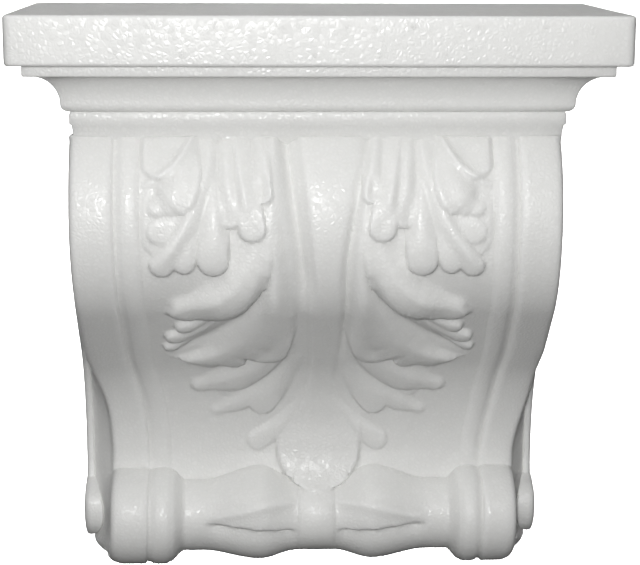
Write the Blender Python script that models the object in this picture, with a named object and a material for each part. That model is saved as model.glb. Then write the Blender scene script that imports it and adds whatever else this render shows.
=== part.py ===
"""A moulded foam corbel: a square-edged top plate over a cove, and an S-shaped body carved with acanthus.

The part is one solid. It is worked out in millimetres with Z = 0 on the plate and depth measured out
from the wall, and written in metres with the origin in the middle of the flat back face.
X runs to the right, Z up, and the front faces -Y.
"""
import math

import bmesh
import bpy
import numpy as np

MM = 0.001

# The top plate and the mouldings under it
PLATE_WIDTH = 220.0
PLATE_DEPTH = 98.4
PLATE_THICKNESS = 17.7
PLATE_EDGE_RADIUS = 1.3
FILLET_INSET = 5.6
FILLET_HEIGHT = 4.0
FILLET_ROUNDING = 0.7
COVE_LIP = 1.9
COVE_WIDTH = 10.0
COVE_HEIGHT = 10.6
OVOLO_WIDTH = 3.2
OVOLO_HEIGHT = 3.0
BAND_HEIGHT = 5.2
BAND_PROUD = 0.8
RECESS_HEIGHT = 3.0

# The S-shaped body, seen from the side
BODY_OVERLAP = 0.9
BULGE_REACH = 87.5
BULGE_RADIUS = 50.0
BULGE_DROP = 76.0
SLOPE_ANGLE = math.radians(47.0)
THROAT_DEPTH = 26.5
THROAT_RADIUS = 55.0
ROLL_CENTRE_DEPTH = 24.5
ROLL_CENTRE_DROP = 204.7
ROLL_BAND_RADIUS = 20.2
ROLL_START_ANGLE = 84.0
ROLL_END_ANGLE = -90.0

# The ribbon, seen from the front
BODY_SHIFT = -0.8
RIBBON_HALF = 89.3
ROLL_HALF = 81.2
TAPER_START = 101.0
TAPER_END = 165.0
LEAN = 2.6
LEAN_START = 30.0
LEAN_END = 110.0
EDGE_LEAN = 0.9
NECK_LEAN = 1.6
NECK_AT = 137.0
NECK_LENGTH = 16.0
RIBBON_ROUNDING = 2.6
BAND_WIDTH = 16.1
GROOVE_WIDTH = 2.4
GROOVE_DEPTH = 1.4
BEAD_WIDTH = 8.0
BEAD_HEIGHT = 0.8
FIELD_DROP = 1.1
FIELD_EDGE = 1.8
ROLL_FIELD_EDGE = 6.0
BODY_START = 0.6
FOOT_RELIEF = 0.25

# The broad mid rib and the tongue that ends it
RIB_CENTRE = 1.8
RIB_HALF_TOP = 14.2
RIB_HALF_LOW = 7.4
RIB_HALF_WAIST = 6.0
RIB_NARROWS_BY = 60.0
RIB_HEIGHT = 1.9
RIB_EDGE = 2.0
RIB_ROUNDNESS = 0.45
WAIST_SINK = 0.6
TONGUE_CENTRE = 0.4
TONGUE_HALF = 19.0
TONGUE_START = 128.0
TONGUE_SHOULDER = 157.0
TONGUE_RISE_DROP = 168.0
TONGUE_END_DROP = 192.0
TONGUE_RISE = 6.0
TONGUE_THICKNESS = 0.8
TONGUE_STRAIGHT = 0.25
TONGUE_SWEEP = 1.7
TONGUE_POWER = 2.4
TONGUE_CAMBER = 1.2
TONGUE_EDGE = 1.5

# The two folded leaves that wrap the bottom roll, and the knot between them
KNOT_CENTRE = -0.7
KNOT_HALF = 8.0
KNOT_RADIUS = 16.8
WAIST_RADIUS = 15.2
SWELL_RADIUS_LOW = 18.7
SWELL_RADIUS_TOP = 21.0
SWELL_AT = 25.0
TIP_RADIUS = 15.0
TIP_AT = 50.0
FOLD_ANGLES = (-8.0, 4.0)
FOLD_STEP = 2.8
FOLD_RUN_IN = 6.0
FOLD_TURN = 5.0
FOLD_FADE = 20.0
VEIN_ANGLES = (34.0, 8.0)
VEIN_HEIGHT = 0.9
VEIN_TURN = 6.0
HOLLOW_ANGLE = 58.0
HOLLOW_DEPTH = 1.4
SWELL_TURN = (-20.0, 60.0)
KNOT_TURN = (-70.0, -10.0)
UNDER_TURN = (-10.0, 80.0)
HOLLOW_TURN = 17.0
HOLLOW_LENGTH_ACROSS = 14.0
ROLL_END_ROUNDING = 5.0
ROLL_SECTION_SHARE = 0.7
ROLL_END_FLARE = 1.4
ROLL_END_SKEW = 1.2
SLANT_SWELLING = 1.8

# The cheeks behind the ribbon, with the small scroll at their foot
CHEEK_SET_BACK_TOP = 6.0
CHEEK_SET_BACK = 10.0
CHEEK_WALL_HALF = 91.8
CHEEK_DRAFT = 0.03
CHEEK_ROUNDING = 1.6
CHEEK_INNER_HALF = 88.3
SCROLL_CENTRE_DEPTH = 17.5
SCROLL_CENTRE_DROP = 202.0
SCROLL_RADIUS = 13.0
SCROLL_START_ANGLE = 60.0
SCROLL_WIDENING = 4.6
SCROLL_PROUD = 0.8
SCROLL_RUN_IN = 0.28
BOSS_REACH = 1.15
BOSS_ROUNDING = 1.4
CHEEK_LIP = 0.6

# The rim, the sunk field and the round eye on the sides
SIDE_RIM = 7.0
SIDE_SINK = 1.6
WALL_MARGIN = 4.0
WALL_SPREAD = 20.0
EYE_DEPTH = 41.0
EYE_DROP = 82.0
EYE_RADIUS = 15.0

# How finely the solid is divided
FIELD_COLUMNS = 42
BODY_ROWS = 38
FOOT_ROWS = 3
ROLL_ROWS = 14
SLANT_STEPS = 1
ROUNDING_STEPS = 2
BEAD_STEPS = 3
SIDE_COLUMNS = 5
UNDERSIDE_ROWS = 2
HEAD_SIDE_COLUMNS = 3
HEAD_COLUMN_STEP = 6
ARC_STEPS = 4
SHARP_ANGLE = 38.0

# Leaflets of one half of the acanthus, in layers from the ground up. Each has a root, a bend and the
# centre of its round tip, as millimetres out from the centre line and down the surface, then the tip's
# radius, its lift off the field and how hollow it is.
LEAF_BODIES = (
    ((44, -6), (46, 20), (50, 34), 15.0, 0.9, 0.0),
    ((25, -6), (26, 12), (26, 22), 9.0, 0.8, 0.0),
    ((15, 36), (19, 86), (45, 100.5), 9.0, 4.0, 0.0),
    ((12, 96), (20, 118), (34, 124), 10.0, 0.8, 0.0),
)
LEAFLETS = (
    ((4, 128), (9, 145), (22.5, 152), 4.6, 1.8, 0.0),
    ((8, 108), (19, 130), (39, 137.5), 4.8, 2.2, 0.0),
    ((8, 106), (12, 122), (19.5, 133.5), 6.4, 3.0, 0.1),
    ((12, 96), (22, 117), (46.5, 123.5), 7.6, 3.0, 0.0),
    ((44, 86), (51, 96), (57.5, 98.5), 2.9, 1.9, 0.0),
    ((38, 78), (47, 87), (55.5, 90), 3.6, 2.3, 0.0),
    ((38, 76), (45, 81), (51, 83.5), 3.6, 2.6, 0.0),
    ((44, 98), (50, 103.5), (57, 107), 3.6, 3.2, 0.0),
    ((34, 90), (40, 101), (46, 106), 4.8, 3.9, 0.0),
    ((28, 86), (32, 101), (38, 109.5), 5.6, 4.0, 0.0),
    ((22, 80), (26, 94), (30.5, 103.5), 5.2, 3.9, 0.0),
    ((13, 44), (13, 76), (17.8, 99.3), 8.6, 4.4, 0.5),
    ((21, 32), (24, 60), (43.5, 68.6), 11.2, 4.6, 0.0),
    ((46, -14), (51, -4), (55, 5.5), 9.6, 2.2, 0.4),
    ((45, 24), (51, 31), (57, 36), 5.0, 1.9, 0.2),
    ((41, -6), (46, 12), (54.5, 23.3), 8.6, 3.2, 0.5),
    ((37, 4), (40, 30), (56.5, 49), 4.8, 3.2, 0.0),
    ((42, 24), (45, 38), (48.5, 48), 4.6, 3.2, 0.0),
    ((36, 8), (37, 30), (38, 47), 6.0, 3.8, 0.1),
    ((21.5, -8), (20.5, 8), (19.5, 21.8), 3.7, 2.8, 0.4),
    ((33, -8), (33.5, 14), (31.6, 30.0), 4.0, 3.0, 0.1),
    ((27, -8), (27, 16), (23.5, 33.6), 5.6, 3.6, 0.2),
)
# Soft ridges and valleys laid over the leaflets: start, bend and end, half width, and height or depth.
RIDGES = (
    ((15, -30), (13.5, 30), (19, 90), 2.8, 1.7),
    ((37, 6), (42, 30), (60, 51), 1.6, 0.9),
    ((44, -4), (47, 13), (63, 17), 1.3, 0.8),
    ((40, -10), (43, 25), (62, 49), 2.0, -0.9),
    ((37.5, -10), (36, 24), (31, 41), 1.8, -1.2),
    ((31, -10), (29.5, 16), (28.5, 31), 1.4, -0.7),
    ((18.3, -10), (17.6, 20), (19.5, 38), 1.4, -0.8),
    ((12.2, -10), (8.6, 26), (7.2, 62), 1.7, -1.5),
    ((20, 50), (26, 82), (58, 104), 2.4, -1.6),
    ((23, 78), (23.5, 92), (25, 104), 1.6, -1.2),
)
EDGE_SOFTNESS = 1.6
ROOT_SHARE = 0.12
ROOT_NARROWING = 0.5
FULL_WIDTH_AT = 0.8
FULL_LIFT_AT = 0.95
CRISP_FROM = 0.5
LEAF_ROUNDNESS = 0.35
HOLLOW_SHARE = 0.6
HOLLOW_WIDTH = 0.5
RIDGE_FADE = 0.2
SPINE_PIECES = 8
FAR_AWAY = 9.0

# The flat top of the body starts just above the recess, and the curves run on from it
FIELD_HALF = RIBBON_HALF - BAND_WIDTH - GROOVE_WIDTH / 2 - BEAD_WIDTH
GROOVE_AT = RIBBON_HALF - BAND_WIDTH
HEAD_HEIGHT = PLATE_THICKNESS + FILLET_HEIGHT + COVE_HEIGHT + OVOLO_HEIGHT + BAND_HEIGHT + RECESS_HEIGHT
TOP = -HEAD_HEIGHT - BODY_OVERLAP
BULGE_CENTRE = BULGE_REACH - BULGE_RADIUS
TOP_ANGLE = math.asin((TOP + BULGE_DROP) / BULGE_RADIUS)
BULGE_LENGTH = BULGE_RADIUS * (TOP_ANGLE + SLOPE_ANGLE)
SLOPE_START = BULGE_CENTRE + BULGE_RADIUS * math.cos(SLOPE_ANGLE)
SLOPE_TOP = -BULGE_DROP - BULGE_RADIUS * math.sin(SLOPE_ANGLE)
HOLLOW_START = THROAT_DEPTH + THROAT_RADIUS * (1.0 - math.cos(SLOPE_ANGLE))
SLOPE_LENGTH = (SLOPE_START - HOLLOW_START) / math.sin(SLOPE_ANGLE)
HOLLOW_LENGTH = THROAT_RADIUS * SLOPE_ANGLE
THROAT_FOOT = SLOPE_TOP - SLOPE_LENGTH * math.cos(SLOPE_ANGLE) - THROAT_RADIUS * math.sin(SLOPE_ANGLE)
CREASE = -ROLL_CENTRE_DROP + ROLL_BAND_RADIUS * math.sin(math.radians(ROLL_START_ANGLE))
FOOT_LENGTH = THROAT_FOOT - CREASE
CURVED_LENGTH = BULGE_LENGTH + SLOPE_LENGTH + HOLLOW_LENGTH
HALF_TOTAL = (ROLL_CENTRE_DROP + ROLL_BAND_RADIUS) / 2


def clear_scene():
    for item in list(bpy.data.objects):
        bpy.data.objects.remove(item, do_unlink=True)


def smooth_step(value, low, high):
    share = np.clip((value - low) / (high - low), 0.0, 1.0)
    return share * share * (3.0 - 2.0 * share)


def mix(first, second, share):
    return first + (second - first) * share


def bump(value, centre, width):
    return np.exp(-((value - centre) / width) ** 2)


def quarter_arc(start, end, hollow):
    """Points of an elliptical quarter, leaving out its start. A hollow one leaves its start level."""
    points = []
    for step in range(1, ARC_STEPS + 1):
        angle = math.pi / 2 * step / ARC_STEPS
        across = math.sin(angle) if hollow else 1.0 - math.cos(angle)
        down = 1.0 - math.cos(angle) if hollow else math.sin(angle)
        points.append((mix(start[0], end[0], across), mix(start[1], end[1], down)))
    return points


def head_outline():
    """Inset from the plate's edge and height, from the top of the plate down to the body."""
    edge = PLATE_EDGE_RADIUS
    line = [(edge, 0.0), (0.0, -edge)]
    line.append((0.0, -PLATE_THICKNESS + edge))
    line.append((edge, -PLATE_THICKNESS))
    line.append((FILLET_INSET, -PLATE_THICKNESS))
    foot = -PLATE_THICKNESS - FILLET_HEIGHT
    line.append((FILLET_INSET, foot + FILLET_ROUNDING))
    line.append((FILLET_INSET + FILLET_ROUNDING, foot))
    cove_top = (FILLET_INSET + COVE_LIP, foot)
    cove_foot = (cove_top[0] + COVE_WIDTH, foot - COVE_HEIGHT)
    line.append(cove_top)
    line += quarter_arc(cove_top, cove_foot, True)
    ovolo_foot = (cove_foot[0] + OVOLO_WIDTH, cove_foot[1] - OVOLO_HEIGHT)
    line += quarter_arc(cove_foot, ovolo_foot, False)
    band_face = ovolo_foot[0] - BAND_PROUD / 2
    band_foot = ovolo_foot[1] - BAND_HEIGHT
    line.append((band_face, ovolo_foot[1] - BAND_PROUD))
    line.append((band_face, band_foot + BAND_PROUD))
    line.append((ovolo_foot[0] + BAND_PROUD / 2, band_foot))
    line.append((ovolo_foot[0] + BAND_PROUD, band_foot - RECESS_HEIGHT))
    return line


def line_point(run):
    """Depth, height and the outward normal at distances down the side line of the body."""
    slope_run = run - BULGE_LENGTH
    hollow_run = slope_run - SLOPE_LENGTH
    foot_run = np.maximum(hollow_run - HOLLOW_LENGTH, 0.0)
    angle = np.where(slope_run < 0, TOP_ANGLE - run / BULGE_RADIUS, -SLOPE_ANGLE)
    angle = np.where(hollow_run > 0, -SLOPE_ANGLE + hollow_run / THROAT_RADIUS, angle)
    angle = np.where(hollow_run > HOLLOW_LENGTH, 0.0, angle)
    depth = BULGE_CENTRE + BULGE_RADIUS * np.cos(angle)
    height = -BULGE_DROP + BULGE_RADIUS * np.sin(angle)
    on_slope = (slope_run >= 0) & (hollow_run <= 0)
    depth = np.where(on_slope, SLOPE_START - slope_run * math.sin(SLOPE_ANGLE), depth)
    height = np.where(on_slope, SLOPE_TOP - slope_run * math.cos(SLOPE_ANGLE), height)
    in_throat = hollow_run > 0
    depth = np.where(in_throat, THROAT_DEPTH + THROAT_RADIUS * (1.0 - np.cos(angle)), depth)
    height = np.where(in_throat, THROAT_FOOT - THROAT_RADIUS * np.sin(angle) - foot_run, height)
    return depth, height, np.cos(angle), np.sin(angle)


def bent(line, share):
    """A point on a bent spine, by sliding along its two straight guides at once."""
    root, bend, tip = line[:3]
    first = (mix(root[0], bend[0], share), mix(root[1], bend[1], share))
    second = (mix(bend[0], tip[0], share), mix(bend[1], tip[1], share))
    return mix(first[0], second[0], share), mix(first[1], second[1], share)


def spine_distance(across, down, line, narrowing):
    """How far each point lies from the spine, as a share of the width there, and how far along it."""
    nearest = np.full(across.shape, FAR_AWAY)
    along = np.zeros(across.shape)
    for piece in range(SPINE_PIECES):
        start = bent(line, piece / SPINE_PIECES)
        end = bent(line, (piece + 1) / SPINE_PIECES)
        run = (end[0] - start[0], end[1] - start[1])
        place = (across - start[0]) * run[0] + (down - start[1]) * run[1]
        place = np.clip(place / (run[0] ** 2 + run[1] ** 2), 0.0, 1.0)
        share = (piece + place) / SPINE_PIECES
        width = line[3] * (1.0 - narrowing + narrowing * smooth_step(share, 0.0, FULL_WIDTH_AT))
        away = np.hypot(across - start[0] - run[0] * place, down - start[1] - run[1] * place) / width
        closer = away < nearest
        nearest = np.where(closer, away, nearest)
        along = np.where(closer, share, along)
    return nearest, along


def leaflet_height(across, down, leaflet):
    """A leaflet is a soft ridge at its root, and towards its tip it lifts and gets a crisp edge."""
    radius, lift, hollow = leaflet[3:]
    away, along = spine_distance(across, down, leaflet, ROOT_NARROWING)
    crown = lift * (ROOT_SHARE + (1.0 - ROOT_SHARE) * smooth_step(along, 0.0, FULL_LIFT_AT))
    soft = np.clip(1.0 - away ** 2, 0.0, 1.0)
    edge = smooth_step((1.0 - away) * radius, 0.0, EDGE_SOFTNESS)
    crisp = (1.0 - LEAF_ROUNDNESS * away ** 2 - HOLLOW_SHARE * hollow * bump(away, 0.0, HOLLOW_WIDTH)) * edge
    section = mix(soft, crisp, smooth_step(along, CRISP_FROM, FULL_LIFT_AT))
    return np.where(away < 1.0, crown * section, 0.0)


def ridge_height(across, down, ridge):
    """A soft ridge or valley that dies out at both of its ends."""
    away, along = spine_distance(across, down, ridge, 0.0)
    fade = smooth_step(along, 0.0, RIDGE_FADE) * (1.0 - smooth_step(along, 1.0 - RIDGE_FADE, 1.0))
    return ridge[4] * bump(away, 0.0, 1.0) * fade


def rib_half(down):
    taper = mix(RIB_HALF_TOP, RIB_HALF_LOW, smooth_step(down, 0.0, RIB_NARROWS_BY))
    taper = mix(taper, RIB_HALF_WAIST, smooth_step(down, RIB_NARROWS_BY, TONGUE_START))
    return mix(taper, TONGUE_HALF, smooth_step(down, TONGUE_START, TONGUE_SHOULDER))


def rib_centre(down):
    return mix(RIB_CENTRE, TONGUE_CENTRE, smooth_step(down, RIB_NARROWS_BY, TONGUE_SHOULDER))


def leaf_relief(out, down):
    """Height of the acanthus and its mid rib over the field."""
    across = np.abs(out)
    height = np.zeros(across.shape)
    for leaflet in LEAF_BODIES + LEAFLETS:
        height = np.maximum(height, leaflet_height(across, down, leaflet))
    for ridge in RIDGES:
        height = height + ridge_height(across, down, ridge)
    half = rib_half(down)
    side = np.abs(out - rib_centre(down)) / half
    edge = 1.0 - smooth_step(side * half, half - RIB_EDGE, half)
    waist = smooth_step(down, RIB_NARROWS_BY, TONGUE_START)
    waist = waist * (1.0 - smooth_step(down, TONGUE_START, TONGUE_SHOULDER))
    level = RIB_HEIGHT * (1.0 - RIB_ROUNDNESS * np.clip(side, 0.0, 1.0) ** 2) * (1.0 - WAIST_SINK * waist)
    return mix(height, level, edge)


def ribbon_section(out, rounding):
    """Height of the plain band, groove, bead and field across the ribbon, before the carving."""
    across = np.abs(out)
    bead_at = (GROOVE_AT - GROOVE_WIDTH / 2 + FIELD_HALF) / 2
    groove = -GROOVE_DEPTH * smooth_step(1.0 - np.abs(across - GROOVE_AT) / (GROOVE_WIDTH / 2), 0.0, 1.0)
    inside = 1.0 - smooth_step(across, GROOVE_AT - GROOVE_WIDTH / 2, GROOVE_AT)
    bead = np.clip(1.0 - ((across - bead_at) / (BEAD_WIDTH / 2)) ** 2, 0.0, 1.0)
    field = -FIELD_DROP * inside + (BEAD_HEIGHT + FIELD_DROP / 2) * np.sqrt(bead)
    from_edge = np.clip((RIBBON_HALF - across) / rounding, 0.0, 1.0)
    corner = rounding * (1.0 - np.sqrt(1.0 - (1.0 - from_edge) ** 2))
    return groove + field - corner


def field_mask(out, softness):
    """One inside the carved field, none on the bead and the bands."""
    return 1.0 - smooth_step(np.abs(out), FIELD_HALF - softness, FIELD_HALF)


def half_width(run):
    return mix(RIBBON_HALF, ROLL_HALF, smooth_step(run, TAPER_START, TAPER_END))


def lean(out, run):
    """How far the pattern strays to the right lower down: most in the middle, least at the edges."""
    edge = (np.abs(out) / RIBBON_HALF) ** 3
    whole = smooth_step(run, LEAN_START, LEAN_END)
    neck = NECK_LEAN * bump(run, NECK_AT, NECK_LENGTH)
    return LEAN * whole * (1.0 - edge) + edge * (EDGE_LEAN * whole + neck)


def wrap_radius(out, angle):
    """Radius of the carved roll: a knot in the middle and a folded leaf to either side of it."""
    across = np.abs(out - KNOT_CENTRE)
    upper = smooth_step(angle, *SWELL_TURN)
    grow = smooth_step(across, KNOT_HALF, SWELL_AT)
    radius = mix(WAIST_RADIUS, mix(SWELL_RADIUS_LOW, SWELL_RADIUS_TOP, upper), grow)
    radius = mix(radius, TIP_RADIUS, smooth_step(across, SWELL_AT, TIP_AT))
    knot = np.sqrt(np.clip(1.0 - (across / KNOT_HALF) ** 2, 0.0, 1.0))
    radius = radius + (KNOT_RADIUS - WAIST_RADIUS) * knot * smooth_step(angle, *KNOT_TURN)
    share = np.clip((across - KNOT_HALF) / (TIP_AT - KNOT_HALF), 0.0, 1.0)
    leaf = smooth_step(across, KNOT_HALF, KNOT_HALF + FOLD_RUN_IN)
    leaf = leaf * (1.0 - smooth_step(across, TIP_AT - FOLD_RUN_IN, TIP_AT))
    under = mix(*FOLD_ANGLES, share) - angle
    fold = smooth_step(under, 0.0, FOLD_TURN) * np.exp(-np.clip(under, 0.0, None) / FOLD_FADE)
    vein = bump(angle, mix(*VEIN_ANGLES, share), VEIN_TURN)
    hollow = bump(angle, HOLLOW_ANGLE, HOLLOW_TURN) * bump(across, SWELL_AT, HOLLOW_LENGTH_ACROSS)
    return radius + (VEIN_HEIGHT * vein - FOLD_STEP * fold) * leaf - HOLLOW_DEPTH * hollow


def roll_radius(out, angle):
    """Radius of the whole roll, with its plain bands at the ends."""
    rounding = mix(RIBBON_ROUNDING, ROLL_END_ROUNDING, smooth_step(-angle, *UNDER_TURN))
    band = ROLL_BAND_RADIUS + ROLL_SECTION_SHARE * ribbon_section(out, rounding / ROLL_SECTION_SHARE)
    return mix(band, wrap_radius(out, angle), field_mask(out, ROLL_FIELD_EDGE))


def front_places():
    """Columns across the front: close at the rounded edges and the bead, even over the field."""
    turn = np.linspace(0.0, math.pi / 2, ROUNDING_STEPS + 1)
    corner = RIBBON_HALF - RIBBON_ROUNDING * (1.0 - np.cos(turn))
    groove = GROOVE_AT + GROOVE_WIDTH / 2 * np.array([1.0, 0.0, -1.0])
    bead = np.linspace(groove[-1], FIELD_HALF, BEAD_STEPS + 1)[1:]
    outer = np.concatenate([corner, groove, bead])
    field = np.linspace(-FIELD_HALF, FIELD_HALF, FIELD_COLUMNS + 2)[1:-1]
    return np.concatenate([-outer, field, outer[::-1]])


def front_grid(places, runs, angles):
    """Depth and height of every point on the ribbon and the roll."""
    out, down = np.meshgrid(places, runs)
    depth, height, normal_out, normal_up = line_point(down)
    wake = np.where(down > 0.0, 1.0, 0.0)
    foot = np.clip((down - CURVED_LENGTH) / FOOT_LENGTH, 0.0, 1.0)
    relief = ribbon_section(out, RIBBON_ROUNDING) + leaf_relief(out, down) * field_mask(out, FIELD_EDGE)
    relief = relief * wake * mix(1.0, FOOT_RELIEF, foot)
    start = math.radians(ROLL_START_ANGLE)
    crease = -ROLL_CENTRE_DROP + roll_radius(out, ROLL_START_ANGLE) * math.sin(start)
    height = np.where(foot > 0, mix(THROAT_FOOT, crease, foot), height)
    upper = (depth + relief * normal_out, height + relief * normal_up)
    out, turn = np.meshgrid(places, angles)
    radius = roll_radius(out, turn)
    lower_depth = ROLL_CENTRE_DEPTH + radius * np.cos(np.radians(turn))
    lower_height = -ROLL_CENTRE_DROP + radius * np.sin(np.radians(turn))
    return np.vstack([upper[0], lower_depth]), np.vstack([upper[1], lower_height])


def lay_tongue(places, depth, height):
    """Draw the end of the mid rib out over the roll as a rounded tongue that bridges the crease."""
    across = np.abs(places - TONGUE_CENTRE)[None, :] / TONGUE_HALF + np.zeros(depth.shape)
    fall = (-height - TONGUE_RISE_DROP) / (TONGUE_END_DROP - TONGUE_RISE_DROP)
    share = np.clip(fall, 0.0, 1.0)
    end = np.clip((fall - TONGUE_STRAIGHT) / (1.0 - TONGUE_STRAIGHT), 0.0, 2.0)
    inside = (1.0 - (across ** TONGUE_POWER + end ** TONGUE_POWER) ** (1.0 / TONGUE_POWER)) * TONGUE_HALF
    crown = THROAT_DEPTH + RIB_HEIGHT + TONGUE_RISE * share ** TONGUE_SWEEP - TONGUE_CAMBER * across ** 2
    laid = np.maximum(crown, depth + TONGUE_THICKNESS)
    grow = smooth_step(inside, 0.0, TONGUE_EDGE) * smooth_step(fall, -TONGUE_STRAIGHT, TONGUE_STRAIGHT)
    laid = mix(depth, laid, grow)
    return np.where((fall > -TONGUE_STRAIGHT) & (fall < 1.0), laid, depth)


def cheek_half(depth):
    return CHEEK_WALL_HALF - CHEEK_DRAFT * depth


def cheek_line(run):
    """The cheek's edge seen from the side: the ribbon's line set back along its normal."""
    depth, height, out, up = line_point(np.minimum(run, CURVED_LENGTH))
    back = mix(CHEEK_SET_BACK_TOP, CHEEK_SET_BACK, smooth_step(run, BULGE_LENGTH, TAPER_END))
    foot = np.clip((run - CURVED_LENGTH) / FOOT_LENGTH, 0.0, 1.0)
    return depth - back * out, mix(height - back * up, CREASE, foot)


def side_relief(depth, height, from_edge):
    """How far the side stands in or out: the rim, the sunk field and the round eye."""
    rim = 1.0 - smooth_step(from_edge, SIDE_RIM - 1.0, SIDE_RIM + 1.0)
    from_eye = np.hypot(depth - EYE_DEPTH, height + EYE_DROP)
    eye = 1.0 - smooth_step(from_eye, EYE_RADIUS - 1.0, EYE_RADIUS + 1.0)
    from_foot = np.hypot(depth - SCROLL_CENTRE_DEPTH, height + SCROLL_CENTRE_DROP)
    foot = 1.0 - smooth_step(from_foot, SCROLL_RADIUS - 1.0, SCROLL_RADIUS + 1.0)
    near_wall = 1.0 - smooth_step(depth, WALL_MARGIN - 1.0, WALL_MARGIN + 1.0)
    raised = np.maximum(np.maximum(rim, eye), np.maximum(foot, near_wall))
    return SIDE_SINK * (raised - 1.0)


def side_grid(runs, angles):
    """Half width, depth and height of one side, from beside the ribbon's edge back to the wall."""
    share = (ROLL_START_ANGLE - angles) / (ROLL_START_ANGLE - ROLL_END_ANGLE)
    turn = np.radians(mix(SCROLL_START_ANGLE, ROLL_END_ANGLE, share))
    depth, height = cheek_line(runs)
    swing = SCROLL_CENTRE_DEPTH + SCROLL_RADIUS * math.cos(math.radians(SCROLL_START_ANGLE)) - depth[-1]
    swing = swing * (1.0 - smooth_step(share, 0.0, SCROLL_RUN_IN))
    depth = np.concatenate([depth, SCROLL_CENTRE_DEPTH + SCROLL_RADIUS * np.cos(turn) - swing])
    height = np.concatenate([height, -SCROLL_CENTRE_DROP + SCROLL_RADIUS * np.sin(turn)])
    run = np.concatenate([runs, np.full(len(angles), runs[-1])])
    wall = mix(TOP, height, smooth_step(run, 0.0, WALL_SPREAD))
    boss = np.concatenate([np.zeros(len(runs)), np.sin(math.pi * np.clip(share * BOSS_REACH, 0.0, 1.0))])
    rounding = CHEEK_ROUNDING + BOSS_ROUNDING * boss
    outer = cheek_half(depth) + SCROLL_PROUD * boss
    inner = np.minimum(outer - rounding - CHEEK_LIP, CHEEK_INNER_HALF - SCROLL_WIDENING * boss)
    cells = [(inner, depth - CHEEK_LIP - boss, height)]
    for step in range(ROUNDING_STEPS + 1):
        angle = math.pi / 2 * step / ROUNDING_STEPS
        across = outer - rounding * (1.0 - math.sin(angle))
        cells.append((across, depth - rounding * (1.0 - math.cos(angle)), height))
    for step in range(1, SIDE_COLUMNS + 1):
        share = step / SIDE_COLUMNS
        back = (depth - rounding) * (1.0 - share)
        level = mix(height, wall, share)
        relief = side_relief(back, level, depth - back)
        cells.append((cheek_half(back) + SCROLL_PROUD * boss * (1.0 - share) + relief, back, level))
    return [np.stack(cell, axis=1) for cell in cells]


class Skin:
    """Points and faces of the closed skin. Rows of point numbers go in from the top down."""

    def __init__(self):
        self.points = []
        self.faces = []

    def row(self, out, depth, height):
        first = len(self.points)
        stack = np.stack([out, -np.asarray(depth), np.asarray(height) + HALF_TOTAL], axis=1) * MM
        self.points.extend(map(tuple, stack))
        return list(range(first, len(self.points)))

    def join(self, upper, lower):
        for k in range(len(upper) - 1):
            self.faces.append((upper[k], upper[k + 1], lower[k + 1], lower[k]))


def slant(edge, inner, swelling):
    """Points of the slanted side of the ribbon, between its edge and the cheek, swollen outwards."""
    shares = np.arange(1, SLANT_STEPS + 1) / (SLANT_STEPS + 1)
    points = np.array([mix(edge, inner, share) for share in shares])
    points[:, 0] += np.sign(edge[0]) * swelling * 4.0 * shares * (1.0 - shares)
    return points


def body_rows(places, runs, angles):
    """Out, depth and height of every row, from the left wall round the front to the right wall."""
    depth, height = front_grid(places, runs, angles)
    depth = lay_tongue(places, depth, height)
    cells = side_grid(runs, angles)
    run = np.concatenate([runs, np.full(len(angles), runs[-1])])
    under = np.concatenate([np.zeros(len(runs)), smooth_step(-angles, *UNDER_TURN)])
    rows = []
    for k in range(len(run)):
        widen = ROLL_END_FLARE - ROLL_END_SKEW * np.sign(places)
        flare = under[k] * (places / RIBBON_HALF) ** 3 * widen
        out = places / RIBBON_HALF * half_width(run[k]) + lean(places, run[k]) + flare + BODY_SHIFT
        front = np.stack([out, depth[k], height[k]], axis=1)
        side = np.array([cell[k] for cell in cells])
        mirror = side * (-1.0, 1.0, 1.0)
        for part in (side, mirror):
            part[:, 0] += BODY_SHIFT
        left = np.vstack([slant(front[0], mirror[0], SLANT_SWELLING * under[k]), mirror])[::-1]
        right = np.vstack([slant(front[-1], side[0], SLANT_SWELLING * under[k]), side])
        rows.append(np.vstack([left, front, right]).T)
    return rows


def head_row(skin, inset, height, fronts):
    half = PLATE_WIDTH / 2 - inset
    depth = PLATE_DEPTH - inset
    back = depth * np.arange(HEAD_SIDE_COLUMNS) / HEAD_SIDE_COLUMNS
    side = np.full(HEAD_SIDE_COLUMNS, half)
    out = np.concatenate([-side, fronts * half, side])
    depths = np.concatenate([back, np.full(len(fronts), depth), back[::-1]])
    return skin.row(out, depths, np.full(len(out), height))


def stitch(skin, upper, lower, picks, side_count):
    """Join the head's few columns to the body's many, one wide face for each of the head's columns."""
    step = side_count / HEAD_SIDE_COLUMNS
    marks = [round(step * k) for k in range(HEAD_SIDE_COLUMNS)]
    marks += [side_count + pick for pick in picks]
    marks += [len(lower) - 1 - round(step * k) for k in range(HEAD_SIDE_COLUMNS - 1, -1, -1)]
    for k in range(len(marks) - 1):
        skin.faces.append([upper[k + 1], upper[k]] + lower[marks[k]:marks[k + 1] + 1])


def close_underside(skin, body, low, inner):
    """Run the last row back to the wall, and close the two cheeks' undersides beside it."""
    previous = body[-1][inner:len(body[-1]) - inner]
    left_run, right_run = [previous[0]], [previous[-1]]
    for step in range(1, UNDERSIDE_ROWS + 1):
        current = skin.row(low[0], low[1] * (1.0 - step / UNDERSIDE_ROWS), low[2])
        skin.join(previous, current)
        previous = current
        left_run.append(current[0])
        right_run.append(current[-1])
    skin.faces.append(body[-1][:inner] + left_run)
    skin.faces.append(right_run[::-1] + body[-1][len(body[-1]) - inner:])
    return previous


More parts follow.
